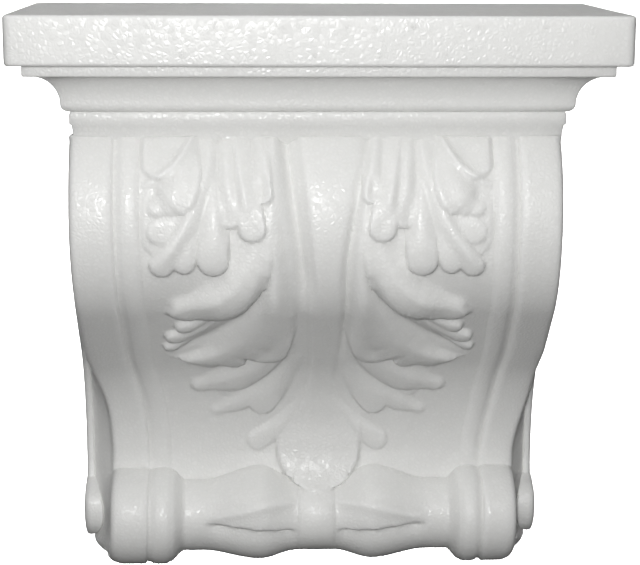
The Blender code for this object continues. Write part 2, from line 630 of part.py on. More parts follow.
def make_skin():
    places = front_places()
    runs = np.linspace(0.0, CURVED_LENGTH, BODY_ROWS)
    foot = CURVED_LENGTH + FOOT_LENGTH * np.arange(1, FOOT_ROWS + 1) / FOOT_ROWS
    runs = np.concatenate([runs[:1], [BODY_START], runs[1:], foot])
    angles = np.linspace(ROLL_START_ANGLE, ROLL_END_ANGLE, ROLL_ROWS + 1)[1:]
    rows = body_rows(places, runs, angles)
    skin = Skin()
    picks = list(range(0, len(places) - 1, HEAD_COLUMN_STEP)) + [len(places) - 1]
    fronts = places[picks] / RIBBON_HALF
    head = [head_row(skin, inset, height, fronts) for inset, height in head_outline()]
    body = [skin.row(*row) for row in rows]
    for upper, lower in zip(head, head[1:]):
        skin.join(upper, lower)
    side_count = (len(body[0]) - len(places)) // 2
    stitch(skin, head[-1], body[0], picks, side_count)
    for upper, lower in zip(body, body[1:]):
        skin.join(upper, lower)
    inner = side_count - SLANT_STEPS - 1
    low = [part[inner:len(part) - inner] for part in rows[-1]]
    foot = close_underside(skin, body, low, inner)
    skin.faces.append(head[0][::-1])
    walls = head + body
    skin.faces.append([row[0] for row in walls] + foot + [row[-1] for row in reversed(walls)])
    return skin


def foam_material():
    material = bpy.data.materials.new("white_bead_foam")
    material.use_nodes = True
    shader = material.node_tree.nodes["Principled BSDF"]
    shader.inputs["Base Color"].default_value = (0.82, 0.82, 0.81, 1.0)
    shader.inputs["Roughness"].default_value = 0.55
    shader.inputs["Metallic"].default_value = 0.0
    return material


def make_corbel():
    skin = make_skin()
    data = bpy.data.meshes.new("corbel")
    data.from_pydata(skin.points, [], skin.faces)
    work = bmesh.new()
    work.from_mesh(data)
    bmesh.ops.triangulate(work, faces=work.faces, quad_method="SHORT_EDGE", ngon_method="EAR_CLIP")
    bmesh.ops.recalc_face_normals(work, faces=work.faces)
    work.to_mesh(data)
    work.free()
    data.shade_smooth()
    data.set_sharp_from_angle(angle=math.radians(SHARP_ANGLE))
    data.materials.append(foam_material())
    corbel = bpy.data.objects.new("corbel", data)
    bpy.context.scene.collection.objects.link(corbel)
    return corbel


clear_scene()
corbel = make_corbel()
print("corbel:", len(corbel.data.vertices), "points,", len(corbel.data.polygons), "triangles")
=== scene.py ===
# %% [markdown]
# A foam corbel, dressed for its picture
#
# A corbel is the bracket under a shelf or a cornice. This one is a single moulding of white bead foam:
# a square-edged plate over a cove, an S-shaped body with an acanthus leaf, and a leaf-wrapped roll at
# its foot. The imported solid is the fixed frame. Here the same surface is worked out again with twenty
# times as many faces, so that the leaf edges and the side scrolls are real geometry.

# %% Load the frame and keep its box
import math

import bpy
import numpy as np
from mathutils import Matrix, Vector


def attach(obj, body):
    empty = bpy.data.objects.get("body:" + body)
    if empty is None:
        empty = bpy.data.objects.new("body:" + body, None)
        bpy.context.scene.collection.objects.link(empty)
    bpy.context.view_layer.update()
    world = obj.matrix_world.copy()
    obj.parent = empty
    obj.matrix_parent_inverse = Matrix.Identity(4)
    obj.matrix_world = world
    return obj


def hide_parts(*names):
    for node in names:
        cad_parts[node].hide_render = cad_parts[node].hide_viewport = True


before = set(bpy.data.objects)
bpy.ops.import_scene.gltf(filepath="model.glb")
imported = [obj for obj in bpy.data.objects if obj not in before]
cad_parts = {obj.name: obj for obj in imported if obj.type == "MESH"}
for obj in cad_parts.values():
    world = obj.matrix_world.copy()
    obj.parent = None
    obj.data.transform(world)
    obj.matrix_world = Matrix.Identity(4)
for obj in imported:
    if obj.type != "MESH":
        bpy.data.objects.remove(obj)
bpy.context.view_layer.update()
MM = 0.001

# %% [markdown]
# Small helpers
#
# Nearly every soft transition in a moulding is an S-shaped ease between two levels, so one function
# makes it. Colours are chosen as sRGB hex values, the way a paint card gives them, and Blender wants
# linear light, so one function turns one into the other. One more adds a shader node with its settings
# and its links in one call, which keeps each material readable.


# %% Helpers
def smooth_step(value, low, high):
    share = np.clip((value - low) / (high - low), 0.0, 1.0)
    return share * share * (3.0 - 2.0 * share)


def mix(first, second, share):
    return first + (second - first) * share


def bump(value, centre, width):
    return np.exp(-((value - centre) / width) ** 2)


def linear(hex_colour, alpha=1.0):
    parts = [int(hex_colour[k:k + 2], 16) / 255 for k in (1, 3, 5)]
    parts = [p / 12.92 if p <= 0.04045 else ((p + 0.055) / 1.055) ** 2.4 for p in parts]
    return (*parts, alpha)


def add_node(tree, kind, settings=None, values=None, links=None):
    """Add a node, set its properties and input values, and link its inputs to other nodes' outputs."""
    node = tree.nodes.new(kind)
    for name, value in (settings or {}).items():
        setattr(node, name, value)
    for name, value in (values or {}).items():
        node.inputs[name].default_value = value
    for name, output in (links or {}).items():
        tree.links.new(output, node.inputs[name])
    return node


# %% [markdown]
# The camera
#
# The photograph looks down on the corbel by about eleven and a half degrees, from a little left of its
# middle and about 0.7 m off. A long lens keeps the plate from flaring. The direction is worked out from
# the three angles, so the view can be nudged by the number that is wrong.

# %% Camera
CAMERA_PLACE = (-24.9, -706.8, 143.05)
CAMERA_PITCH = 11.55
CAMERA_YAW = -2.32
CAMERA_ROLL = 0.23
FOCAL_PIXELS = 1750.0
FRAME_PIXELS = 640.0
SENSOR_WIDTH = 36.0


def make_camera():
    data = bpy.data.cameras.new("camera")
    data.sensor_width = SENSOR_WIDTH
    data.lens = FOCAL_PIXELS / FRAME_PIXELS * SENSOR_WIDTH
    data.clip_start = 0.01
    camera = bpy.data.objects.new("camera", data)
    turn = Matrix.Rotation(math.radians(CAMERA_YAW), 4, "Z")
    tilt = Matrix.Rotation(math.radians(90.0 - CAMERA_PITCH), 4, "X")
    roll = Matrix.Rotation(math.radians(CAMERA_ROLL), 4, "Z")
    place = Matrix.Translation(Vector(CAMERA_PLACE) * MM)
    camera.matrix_world = place @ turn @ tilt @ roll
    bpy.context.scene.collection.objects.link(camera)
    bpy.context.scene.camera = camera
    return camera


camera = make_camera()
print("lens:", round(camera.data.lens, 1), "mm")

# %% [markdown]
# The plate and its mouldings
#
# A joiner would run these mouldings as one profile and mitre it round three sides. The profile is a list
# of insets from the plate's edge against heights. Arcs make the cove and the ovolo, and the corners of
# the plate are rounded a little, because foam never fills a sharp corner of its mould.

# %% Profile of the head
PLATE_WIDTH = 220.0
PLATE_DEPTH = 98.4
PLATE_THICKNESS = 17.7
PLATE_EDGE_RADIUS = 1.3
PLATE_CORNER_RADIUS = 3.4
MARK_PROUD = 0.03
FILLET_INSET = 5.6
FILLET_HEIGHT = 4.0
FILLET_ROUNDING = 0.7
COVE_LIP = 1.9
COVE_WIDTH = 10.0
COVE_HEIGHT = 10.6
OVOLO_WIDTH = 3.2
OVOLO_HEIGHT = 3.0
BAND_HEIGHT = 5.2
BAND_PROUD = 0.8
RECESS_HEIGHT = 3.0
ARC_STEPS = 8


def quarter_arc(start, end, hollow, steps=ARC_STEPS):
    """Points of an elliptical quarter, leaving out its start. A hollow one leaves its start level."""
    points = []
    for step in range(1, steps + 1):
        angle = math.pi / 2 * step / steps
        across = math.sin(angle) if hollow else 1.0 - math.cos(angle)
        down = 1.0 - math.cos(angle) if hollow else math.sin(angle)
        points.append((mix(start[0], end[0], across), mix(start[1], end[1], down)))
    return points


def head_outline():
    """Inset from the plate's edge and height, from the top of the plate down to the body."""
    edge = PLATE_EDGE_RADIUS
    line = [(edge, 0.0)]
    line += quarter_arc((edge, 0.0), (0.0, -edge), True)
    line.append((0.0, -PLATE_THICKNESS + edge))
    line += quarter_arc((0.0, -PLATE_THICKNESS + edge), (edge, -PLATE_THICKNESS), False)
    line.append((FILLET_INSET, -PLATE_THICKNESS))
    foot = -PLATE_THICKNESS - FILLET_HEIGHT
    line.append((FILLET_INSET, foot + FILLET_ROUNDING))
    rounded = (FILLET_INSET + FILLET_ROUNDING, foot)
    line += quarter_arc((FILLET_INSET, foot + FILLET_ROUNDING), rounded, False, ARC_STEPS // 2)
    cove_top = (FILLET_INSET + COVE_LIP, foot)
    cove_foot = (cove_top[0] + COVE_WIDTH, foot - COVE_HEIGHT)
    line.append(cove_top)
    line += quarter_arc(cove_top, cove_foot, True, 2 * ARC_STEPS)
    ovolo_foot = (cove_foot[0] + OVOLO_WIDTH, cove_foot[1] - OVOLO_HEIGHT)
    line += quarter_arc(cove_foot, ovolo_foot, False)
    band_face = ovolo_foot[0] - BAND_PROUD / 2
    band_foot = ovolo_foot[1] - BAND_HEIGHT
    line.append((band_face, ovolo_foot[1] - BAND_PROUD))
    line.append((band_face, band_foot + BAND_PROUD))
    line.append((ovolo_foot[0] + BAND_PROUD / 2, band_foot))
    line.append((ovolo_foot[0] + BAND_PROUD, band_foot - RECESS_HEIGHT))
    return line


print("head profile:", len(head_outline()), "points")

# %% [markdown]
# The S-line of the body
#
# Seen from the side, the ribbon is a bulge of one radius, a straight slope, a hollow of another radius
# and a short upright foot that runs into the roll. Each part starts where the last one ends and in the
# same direction, so the line has no kink. The function gives, for a distance down the line, a depth from
# the wall, a height and the direction that faces out.

# %% Side line
BODY_OVERLAP = 0.9
BULGE_REACH = 87.5
BULGE_RADIUS = 50.0
BULGE_DROP = 76.0
SLOPE_ANGLE = math.radians(47.0)
THROAT_DEPTH = 26.5
THROAT_RADIUS = 55.0
ROLL_CENTRE_DEPTH = 24.5
ROLL_CENTRE_DROP = 204.7
ROLL_BAND_RADIUS = 20.2
ROLL_START_ANGLE = 84.0

TOP = head_outline()[-1][1] - BODY_OVERLAP
BULGE_CENTRE = BULGE_REACH - BULGE_RADIUS
TOP_ANGLE = math.asin((TOP + BULGE_DROP) / BULGE_RADIUS)
BULGE_LENGTH = BULGE_RADIUS * (TOP_ANGLE + SLOPE_ANGLE)
SLOPE_START = BULGE_CENTRE + BULGE_RADIUS * math.cos(SLOPE_ANGLE)
SLOPE_TOP = -BULGE_DROP - BULGE_RADIUS * math.sin(SLOPE_ANGLE)
HOLLOW_START = THROAT_DEPTH + THROAT_RADIUS * (1.0 - math.cos(SLOPE_ANGLE))
SLOPE_LENGTH = (SLOPE_START - HOLLOW_START) / math.sin(SLOPE_ANGLE)
HOLLOW_LENGTH = THROAT_RADIUS * SLOPE_ANGLE
THROAT_FOOT = SLOPE_TOP - SLOPE_LENGTH * math.cos(SLOPE_ANGLE) - THROAT_RADIUS * math.sin(SLOPE_ANGLE)
CREASE = -ROLL_CENTRE_DROP + ROLL_BAND_RADIUS * math.sin(math.radians(ROLL_START_ANGLE))
FOOT_LENGTH = THROAT_FOOT - CREASE
CURVED_LENGTH = BULGE_LENGTH + SLOPE_LENGTH + HOLLOW_LENGTH


def line_point(run):
    """Depth, height and the outward normal at distances down the line, for a whole array at once."""
    run = np.asarray(run, dtype=float)
    slope_run = run - BULGE_LENGTH
    hollow_run = slope_run - SLOPE_LENGTH
    foot_run = np.maximum(hollow_run - HOLLOW_LENGTH, 0.0)
    angle = np.where(slope_run < 0, TOP_ANGLE - run / BULGE_RADIUS, -SLOPE_ANGLE)
    angle = np.where(hollow_run > 0, -SLOPE_ANGLE + hollow_run / THROAT_RADIUS, angle)
    angle = np.where(hollow_run > HOLLOW_LENGTH, 0.0, angle)
    depth = BULGE_CENTRE + BULGE_RADIUS * np.cos(angle)
    height = -BULGE_DROP + BULGE_RADIUS * np.sin(angle)
    on_slope = (slope_run >= 0) & (hollow_run <= 0)
    depth = np.where(on_slope, SLOPE_START - slope_run * math.sin(SLOPE_ANGLE), depth)
    height = np.where(on_slope, SLOPE_TOP - slope_run * math.cos(SLOPE_ANGLE), height)
    in_throat = hollow_run > 0
    depth = np.where(in_throat, THROAT_DEPTH + THROAT_RADIUS * (1.0 - np.cos(angle)), depth)
    height = np.where(in_throat, THROAT_FOOT - THROAT_RADIUS * np.sin(angle) - foot_run, height)
    return depth, height, np.cos(angle), np.sin(angle)


print("line length:", round(CURVED_LENGTH + FOOT_LENGTH, 1), "mm")

# %% [markdown]
# The acanthus leaf
#
# A carver lays the leaf out as a fan of leaflets that overlap like tiles. Each leaflet here is a round
# tip dragged along a bent spine: narrow and low at its root, wide and lifted at its tip, with a crisp
# edge. The highest leaflet wins wherever two overlap, which gives the cut shadows under each tip. The
# lists hold one half, and the other is its mirror image. The long fronds over the slope are one-sided:
# they rise gently from their upper edge and drop off sharply at the lower one, which may be scalloped.

# %% Leaflets of one half, in layers from the ground up
# root, bend and tip as (out from the centre, down the surface), tip radius, lift and hollowing
LEAF_BODIES = (
    ((44, -6), (46, 20), (50, 34), 15.0, 0.9, 0.0),
    ((25, -6), (26, 12), (26, 22), 9.0, 0.8, 0.0),
    ((12, 96), (20, 118), (34, 124), 10.0, 0.8, 0.0),
)
LEAFLETS = (
    ((5, 130), (11, 146), (26.5, 153), 4.6, 1.8, 0.0),
    ((9, 108), (15, 124), (23.5, 135), 6.4, 3.0, 0.1),
    ((44, 86), (51, 95), (57, 97.5), 2.9, 2.2, 0.0),
    ((38, 78), (47, 87), (55, 90), 3.8, 2.6, 0.0),
    ((38, 74), (45, 80), (51, 82.5), 3.6, 2.6, 0.0),
    ((15, 44), (15, 76), (20.4, 99.0), 8.9, 4.4, 0.6),
    ((50, -14), (52, -4), (54.5, 6.5), 11.2, 2.4, 0.8),
    ((45, 24), (51, 31), (57, 36), 5.0, 1.9, 0.2),
    ((37, 4), (40, 30), (56.5, 49), 4.8, 3.0, 0.0),
    ((42, 24), (45, 38), (48.5, 48), 4.6, 3.0, 0.0),
    ((36, 8), (37, 30), (38, 47), 6.2, 3.8, 0.0),
    ((21.5, -8), (20.5, 8), (19.5, 22.5), 3.9, 2.8, 0.9),
    ((33, -8), (33.5, 14), (31.4, 31.0), 4.3, 3.0, 0.5),
    ((27, -8), (27, 16), (23.5, 34.6), 5.6, 3.6, 0.3),
)
# root, bend and tip as above, half widths above and below the spine, lift, roundness, and scallops
FRONDS = (
    ((9, 110), (22, 131), (43, 139), 6.0, 5.6, 2.2, 0.7, 0),
    ((12, 96), (22, 117), (48, 125), 8.0, 9.6, 3.4, 0.6, 0),
    ((18, 44), (17, 98), (60, 107.5), 10.5, 15.5, 4.6, 0.3, 9),
    ((20, 26), (21, 61), (49, 68.5), 9.0, 12.0, 5.4, 0.85, 0),
    ((47, -12), (46.5, 22.5), (57, 26.4), 9.6, 9.8, 3.4, 0.6, 0),
)
# start, bend and end as above, half width and height, with a valley below none
RIDGES = (
    ((18, -30), (14.5, 30), (17, 84), 3.4, 1.7),
    ((36.5, -6), (40, 27), (61, 52), 2.6, 1.2),
    ((43, -8), (46, 15), (66, 20), 1.4, 1.3),
    ((30.5, -10), (30, 14), (24, 31), 1.7, 0.8),
    ((36.5, -10), (36, 24), (31, 41), 1.8, -1.0),
    ((17.5, 46), (23, 82), (60, 104), 2.2, -1.4),
)
EDGE_SOFTNESS = 1.1
TIP_SOFTNESS = 5.0
SPINE_PIECES = 10
FAR_AWAY = 99.0
LEAFLET_NARROWING = 0.5
ROOT_SHARE = 0.12
ROOT_NARROWING = 0.7
FROND_ROOT = 0.55
FROND_CREST = 0.3
FROND_TIP = 0.06
FROND_FADE = 0.45
SCALLOP_DEPTH = 0.28
OVERLAP_BLEND = 0.7


def bent(line, share):
    """A point on a bent spine, by sliding along its two straight guides at once."""
    root, bend, tip = line[:3]
    first = (mix(root[0], bend[0], share), mix(root[1], bend[1], share))
    second = (mix(bend[0], tip[0], share), mix(bend[1], tip[1], share))
    return mix(first[0], second[0], share), mix(first[1], second[1], share)


def spine_distance(across, down, line, narrowing):
    """Distance of each point from the spine, as a share of its width, how far along, and offset below."""
    nearest = np.full(across.shape, FAR_AWAY)
    along = np.zeros(across.shape)
    below = np.zeros(across.shape)
    for piece in range(SPINE_PIECES):
        start = bent(line, piece / SPINE_PIECES)
        end = bent(line, (piece + 1) / SPINE_PIECES)
        run = (end[0] - start[0], end[1] - start[1])
        place = (across - start[0]) * run[0] + (down - start[1]) * run[1]
        place = np.clip(place / (run[0] ** 2 + run[1] ** 2), 0.0, 1.0)
        share = (piece + place) / SPINE_PIECES
        width = line[3] * (1.0 - narrowing + narrowing * smooth_step(share, 0.0, 0.8))
        away = np.hypot(across - start[0] - run[0] * place, down - start[1] - run[1] * place) / width
        closer = away < nearest
        nearest = np.where(closer, away, nearest)
        along = np.where(closer, share, along)
        offset = ((down - start[1]) * run[0] - (across - start[0]) * run[1]) / math.hypot(*run)
        below = np.where(closer, offset, below)
    return nearest, along, below


def leaflet_height(across, down, leaflet):
    """A leaflet is a soft ridge at its root, and towards its tip it lifts and gets a crisp edge."""
    radius, lift, hollow = leaflet[3:]
    away, along, _ = spine_distance(across, down, leaflet, LEAFLET_NARROWING)
    crown = lift * (ROOT_SHARE + (1.0 - ROOT_SHARE) * smooth_step(along, 0.0, 0.95))
    soft = np.clip(1.0 - away ** 2, 0.0, 1.0)
    edge = smooth_step((1.0 - away) * radius, 0.0, EDGE_SOFTNESS)
    crisp = (1.0 - 0.35 * away ** 2 - hollow * 0.6 * np.exp(-(away / 0.5) ** 2)) * edge
    return np.where(away < 1.0, crown * mix(soft, crisp, smooth_step(along, 0.6, 0.95)), 0.0)


def frond_height(across, down, frond):
    """A frond rises gently from its upper side to a crest and drops off at its scalloped lower edge."""
    upper, lower, lift, roundness, scallops = frond[3:]
    away, along, below = spine_distance(across, down, (*frond[:3], 1.0), 0.0)
    taper = mix(FROND_ROOT, 1.0, smooth_step(along, 0.0, 0.5))
    if scallops:
        wave = np.abs(np.sin(math.pi * scallops * along))
        upper = upper * mix(1.0, FROND_TIP, smooth_step(along, 0.45, 1.0))
        lower = lower * mix(1.0, FROND_TIP, smooth_step(along, 0.68, 1.0))
        lower = lower * (1.0 - SCALLOP_DEPTH * (1.0 - wave) * smooth_step(along, 0.35, 0.5))
    else:
        taper = taper * mix(1.0, roundness, smooth_step(along, 0.7, 1.0))
        lower = lower * mix(ROOT_NARROWING, 1.0, smooth_step(along, 0.2, 0.8))
    half = mix(upper, lower, smooth_step(below, -2.0, 2.0)) * taper
    place = np.clip(below / half, -1.0, 1.0)
    past = np.clip(away / half, 0.0, 1.0)
    crown = lift * (ROOT_SHARE + (1.0 - ROOT_SHARE) * smooth_step(along, 0.0, 0.7))
    rise = smooth_step(place, -1.0, FROND_CREST * (1.0 - roundness))
    drop = np.clip((np.maximum(past, place) - FROND_CREST) / (1.0 - FROND_CREST), 0.0, 1.0)
    fall = mix(1.0 - 0.3 * drop, np.sqrt(1.0 - drop ** 2), roundness)
    softness = mix(EDGE_SOFTNESS, TIP_SOFTNESS * taper, smooth_step(along, 0.8, 1.0))
    edge = smooth_step((1.0 - past) * half / softness, 0.0, 1.0)
    edge = mix(1.0 - past ** 2, edge, smooth_step(along, 0.1, 0.4))
    crown = crown * (1.0 - FROND_FADE * smooth_step(along, 0.75, 1.0))
    return np.where(away < half, crown * rise * fall * edge, 0.0)


def lay_over(height, piece):
    """The higher of two reliefs, with the crease between them filled a little."""
    close = np.clip(1.0 - np.abs(height - piece) / OVERLAP_BLEND, 0.0, 1.0)
    fill = close ** 2 * OVERLAP_BLEND / 4.0 * smooth_step(np.minimum(height, piece), 0.2, 1.2)
    return np.maximum(height, piece) + fill


def ridge_height(across, down, ridge):
    """A soft ridge or valley that dies out at both of its ends."""
    away, along, _ = spine_distance(across, down, ridge, 0.0)
    fade = smooth_step(along, 0.0, 0.2) * (1.0 - smooth_step(along, 0.8, 1.0))
    return ridge[4] * np.exp(-away ** 2) * fade


print("leaflets in each half:", len(LEAFLETS), "fronds:", len(FRONDS))

# %% [markdown]
# Across the ribbon
#
# The section across the ribbon is the same all the way down: a smooth band at each edge, a groove, a
# round bead, and a field a little lower, on which the leaf lies. The broad mid rib runs down the middle,
# with a deep twin groove on its left and a plain one on its right, and widens into a tongue. All of these
# are heights over the S-line, so they add up like layers of clay. The real pattern leans to the right
# lower down, by a few millimetres, and so does this one.

# %% Section and relief
BODY_SHIFT = -0.8
RIBBON_HALF = 89.3
ROLL_HALF = 81.2
TAPER_START = 101.0
TAPER_END = 165.0
LEAN = 2.6
LEAN_START = 30.0
LEAN_END = 110.0
EDGE_LEAN = 0.9
NECK_LEAN = 1.6
NECK_AT = 137.0
NECK_LENGTH = 16.0
RIBBON_ROUNDING = 2.6
BAND_WIDTH = 16.1
GROOVE_WIDTH = 2.4
GROOVE_DEPTH = 1.4
BEAD_WIDTH = 8.0
BEAD_HEIGHT = 0.8
FIELD_DROP = 1.1
FIELD_EDGE = 1.8
ROLL_FIELD_EDGE = 6.0
RIB_CENTRE_TOP = 4.0
RIB_CENTRE_LOW = 2.6
RIB_HALF_TOP = 15.1
RIB_HALF_LOW = 7.8
RIB_HALF_WAIST = 5.8
RIB_NARROWS_BY = 60.0
RIB_HEIGHT = 1.9
RIB_CROWN = 0.45
RIB_SINK = 0.6
RIB_GROOVE = 1.8
RIB_GROOVE_WIDTHS = (2.6, 1.9)
LEFT_GROOVE = 2.0
TWIN_GROOVE = 0.45
TWIN_GROOVE_AT = 3.2
TWIN_GROOVE_WIDTH = 1.2
TONGUE_CENTRE = 0.4
TONGUE_HALF = 19.2
TONGUE_START = 128.0
TONGUE_SHOULDER = 157.0


def rib_half(down):
    taper = mix(RIB_HALF_TOP, RIB_HALF_LOW, smooth_step(down, -10.0, RIB_NARROWS_BY))
    taper = mix(taper, RIB_HALF_WAIST, smooth_step(down, RIB_NARROWS_BY, TONGUE_START))
    return mix(taper, TONGUE_HALF, smooth_step(down, TONGUE_START, TONGUE_SHOULDER))


def rib_centre(down):
    centre = mix(RIB_CENTRE_TOP, RIB_CENTRE_LOW, smooth_step(down, -10.0, RIB_NARROWS_BY))
    return mix(centre, TONGUE_CENTRE, smooth_step(down, RIB_NARROWS_BY, TONGUE_SHOULDER))


def leaf_relief(out, down):
    """Height of the acanthus over the field."""
    across = np.abs(out)
    height = np.zeros(across.shape)
    for leaflet in LEAF_BODIES + LEAFLETS:
        height = lay_over(height, leaflet_height(across, down, leaflet))
    for frond in FRONDS:
        height = lay_over(height, frond_height(across, down, frond))
    for ridge in RIDGES:
        height = height + ridge_height(across, down, ridge)
    half = rib_half(down)
    side = np.abs(out - rib_centre(down)) / half
    edge = 1.0 - smooth_step(side * half, half - 2.0, half)
    sunk = smooth_step(down, RIB_NARROWS_BY, TONGUE_START)
    sunk = sunk * (1.0 - smooth_step(down, TONGUE_START, TONGUE_SHOULDER))
    level = RIB_HEIGHT * (1.0 - RIB_CROWN * np.clip(side, 0.0, 1.0) ** 2) * (1.0 - RIB_SINK * sunk)
    left = out < rib_centre(down)
    beside = (side - 1.0) * half
    groove = bump(beside, 0.0, np.where(left, *RIB_GROOVE_WIDTHS)) * np.where(left, LEFT_GROOVE, 1.0)
    groove = groove + np.where(left, TWIN_GROOVE * bump(beside, -TWIN_GROOVE_AT, TWIN_GROOVE_WIDTH), 0.0)
    groove = groove * (1.0 - np.where(left, smooth_step(down, 50.0, 75.0), smooth_step(down, 75.0, 115.0)))
    return mix(height, level, edge) - RIB_GROOVE * groove


def ribbon_section(out, rounding=RIBBON_ROUNDING):
    """Height of the plain band, groove, bead and field across the ribbon, before the carving."""
    across = np.abs(out)
    groove_at = RIBBON_HALF - BAND_WIDTH
    bead_at = groove_at - GROOVE_WIDTH / 2 - BEAD_WIDTH / 2
    groove = -GROOVE_DEPTH * smooth_step(1.0 - np.abs(across - groove_at) / (GROOVE_WIDTH / 2), 0.0, 1.0)
    inside = 1.0 - smooth_step(across, groove_at - GROOVE_WIDTH / 2, groove_at)
    bead = np.clip(1.0 - ((across - bead_at) / (BEAD_WIDTH / 2)) ** 2, 0.0, 1.0)
    field = -FIELD_DROP * inside + (BEAD_HEIGHT + FIELD_DROP / 2) * np.sqrt(bead)
    from_edge = np.clip((RIBBON_HALF - across) / rounding, 0.0, 1.0)
    corner = rounding * (1.0 - np.sqrt(1.0 - (1.0 - from_edge) ** 2))
    return groove + field - corner


def field_mask(out, softness=FIELD_EDGE):
    """One inside the carved field, none on the bead and the bands."""
    limit = RIBBON_HALF - BAND_WIDTH - GROOVE_WIDTH / 2 - BEAD_WIDTH
    return 1.0 - smooth_step(np.abs(out), limit - softness, limit)


def half_width(run):
    return mix(RIBBON_HALF, ROLL_HALF, smooth_step(run, TAPER_START, TAPER_END))


def lean(out, run):
    """How far the pattern strays to the right lower down: most in the middle, least at the edges."""
    edge = (np.abs(out) / RIBBON_HALF) ** 3
    whole = smooth_step(run, LEAN_START, LEAN_END)
    neck = NECK_LEAN * bump(run, NECK_AT, NECK_LENGTH)
    return LEAN * whole * (1.0 - edge) + edge * (EDGE_LEAN * whole + neck)


print("field between the beads:", 2 * (RIBBON_HALF - BAND_WIDTH - GROOVE_WIDTH / 2 - BEAD_WIDTH), "mm")

# %% [markdown]
# The roll at the foot
#
# The roll is a bar lying across the foot, and two leaves are wrapped round it and pinched at a knot in
# the middle. Its radius depends on the place across and on the angle round the bar: it swells and
# narrows along the bar, and creases between the folds run along it.

# %% Roll
KNOT_CENTRE = -0.7
KNOT_HALF = 8.0
KNOT_RADIUS = 16.8
WAIST_RADIUS = 15.2
SWELL_RADIUS_LOW = 18.7
SWELL_RADIUS_TOP = 21.0
SWELL_AT = 25.0
TIP_RADIUS = 15.0
TIP_AT = 50.0
FOLD_ANGLES = (-8.0, 4.0)
FOLD_STEP = 2.85
FOLD_SPREAD = 20.0
VEIN_ANGLES = (34.0, 8.0)
VEIN_HEIGHT = 0.9
VEIN_SPREAD = 6.0
HOLLOW_ANGLE = 58.0
HOLLOW_SPREAD = 17.0
HOLLOW_WIDTH = 14.0
HOLLOW_DEPTH = 1.4
ROLL_END_ROUNDING = 5.0
ROLL_SECTION_SHARE = 0.7
ROLL_END_FLARE = 1.4
ROLL_END_SKEW = 1.2
SLANT_SWELLING = 1.8


def wrap_radius(out, angle):
    """Radius of the carved roll: a knot in the middle and a folded leaf to either side of it."""
    across = np.abs(out - KNOT_CENTRE)
    upper = smooth_step(angle, -20.0, 60.0)
    grow = smooth_step(across, KNOT_HALF, SWELL_AT)
    fade = smooth_step(across, SWELL_AT, TIP_AT)
    radius = mix(WAIST_RADIUS, mix(SWELL_RADIUS_LOW, SWELL_RADIUS_TOP, upper), grow)
    radius = mix(radius, TIP_RADIUS, fade)
    knot = np.sqrt(np.clip(1.0 - (across / KNOT_HALF) ** 2, 0.0, 1.0))
    radius = radius + (KNOT_RADIUS - WAIST_RADIUS) * knot * smooth_step(angle, -70.0, -10.0)
    share = np.clip((across - KNOT_HALF) / (TIP_AT - KNOT_HALF), 0.0, 1.0)
    leaf = smooth_step(across, KNOT_HALF, KNOT_HALF + 5.0)
    leaf = leaf * (1.0 - smooth_step(across, TIP_AT - 7.0, TIP_AT))
    under = mix(*FOLD_ANGLES, share) - angle
    fold = smooth_step(under, 0.0, 5.0) * np.exp(-np.clip(under, 0.0, 90.0) / FOLD_SPREAD)
    vein = bump(angle, mix(*VEIN_ANGLES, share), VEIN_SPREAD)
    hollow = bump(angle, HOLLOW_ANGLE, HOLLOW_SPREAD) * bump(across, SWELL_AT + 1.0, HOLLOW_WIDTH)
    return radius + (VEIN_HEIGHT * vein - FOLD_STEP * fold) * leaf - HOLLOW_DEPTH * hollow


def roll_radius(out, angle):
    """Radius of the whole roll, with its plain bands at the ends."""
    rounding = mix(RIBBON_ROUNDING, ROLL_END_ROUNDING, smooth_step(-angle, -10.0, 80.0))
    band = ROLL_BAND_RADIUS + ROLL_SECTION_SHARE * ribbon_section(out, rounding / ROLL_SECTION_SHARE)
    return mix(band, wrap_radius(out, angle), field_mask(out, ROLL_FIELD_EDGE))


print("roll swells to", SWELL_RADIUS_TOP, "mm")

# %% [markdown]
# The front as a grid
#
# Rows run across the ribbon and columns run down it. Columns are close at the rounded edges and the
# bead, and even over the field. Each point is the S-line pushed out by the relief there. The tongue is
# laid over the roll last, as its own smooth curve, because it bridges the hollow behind it.

# %% Front grid
FIELD_COLUMNS = 196
BODY_ROWS = 220
ROLL_ROWS = 64
FOOT_RELIEF = 0.25
TONGUE_RISE_DROP = 168.0
TONGUE_END_DROP = 193.0
TONGUE_RISE = 7.6
TONGUE_CURL = 2.6
TONGUE_THICKNESS = 0.8
TONGUE_STRAIGHT = 0.25
TONGUE_SQUARENESS = 2.4
TONGUE_CROWN = 1.2
TONGUE_BLEND = 0.3
TONGUE_BLEND_REACH = 1.2
TONGUE_FIRST = -0.25
TONGUE_LAST = 1.1


def front_places():
    groove_at = RIBBON_HALF - BAND_WIDTH
    bead_in = groove_at - GROOVE_WIDTH / 2 - BEAD_WIDTH
    corner = RIBBON_HALF - RIBBON_ROUNDING * (1.0 - np.cos(np.linspace(0.0, math.pi / 2, 5)))
    band = np.linspace(RIBBON_HALF - RIBBON_ROUNDING, groove_at + GROOVE_WIDTH / 2, 6)[1:]
    groove = groove_at + GROOVE_WIDTH / 2 * np.array([0.66, 0.33, 0.0, -0.33, -0.66, -1.0])
    bead = np.linspace(groove_at - GROOVE_WIDTH / 2, bead_in, 9)[1:]
    outer = np.concatenate([corner, band, groove, bead])
    field = np.linspace(-bead_in, bead_in, FIELD_COLUMNS + 2)[1:-1]
    return np.concatenate([-outer, field, outer[::-1]])


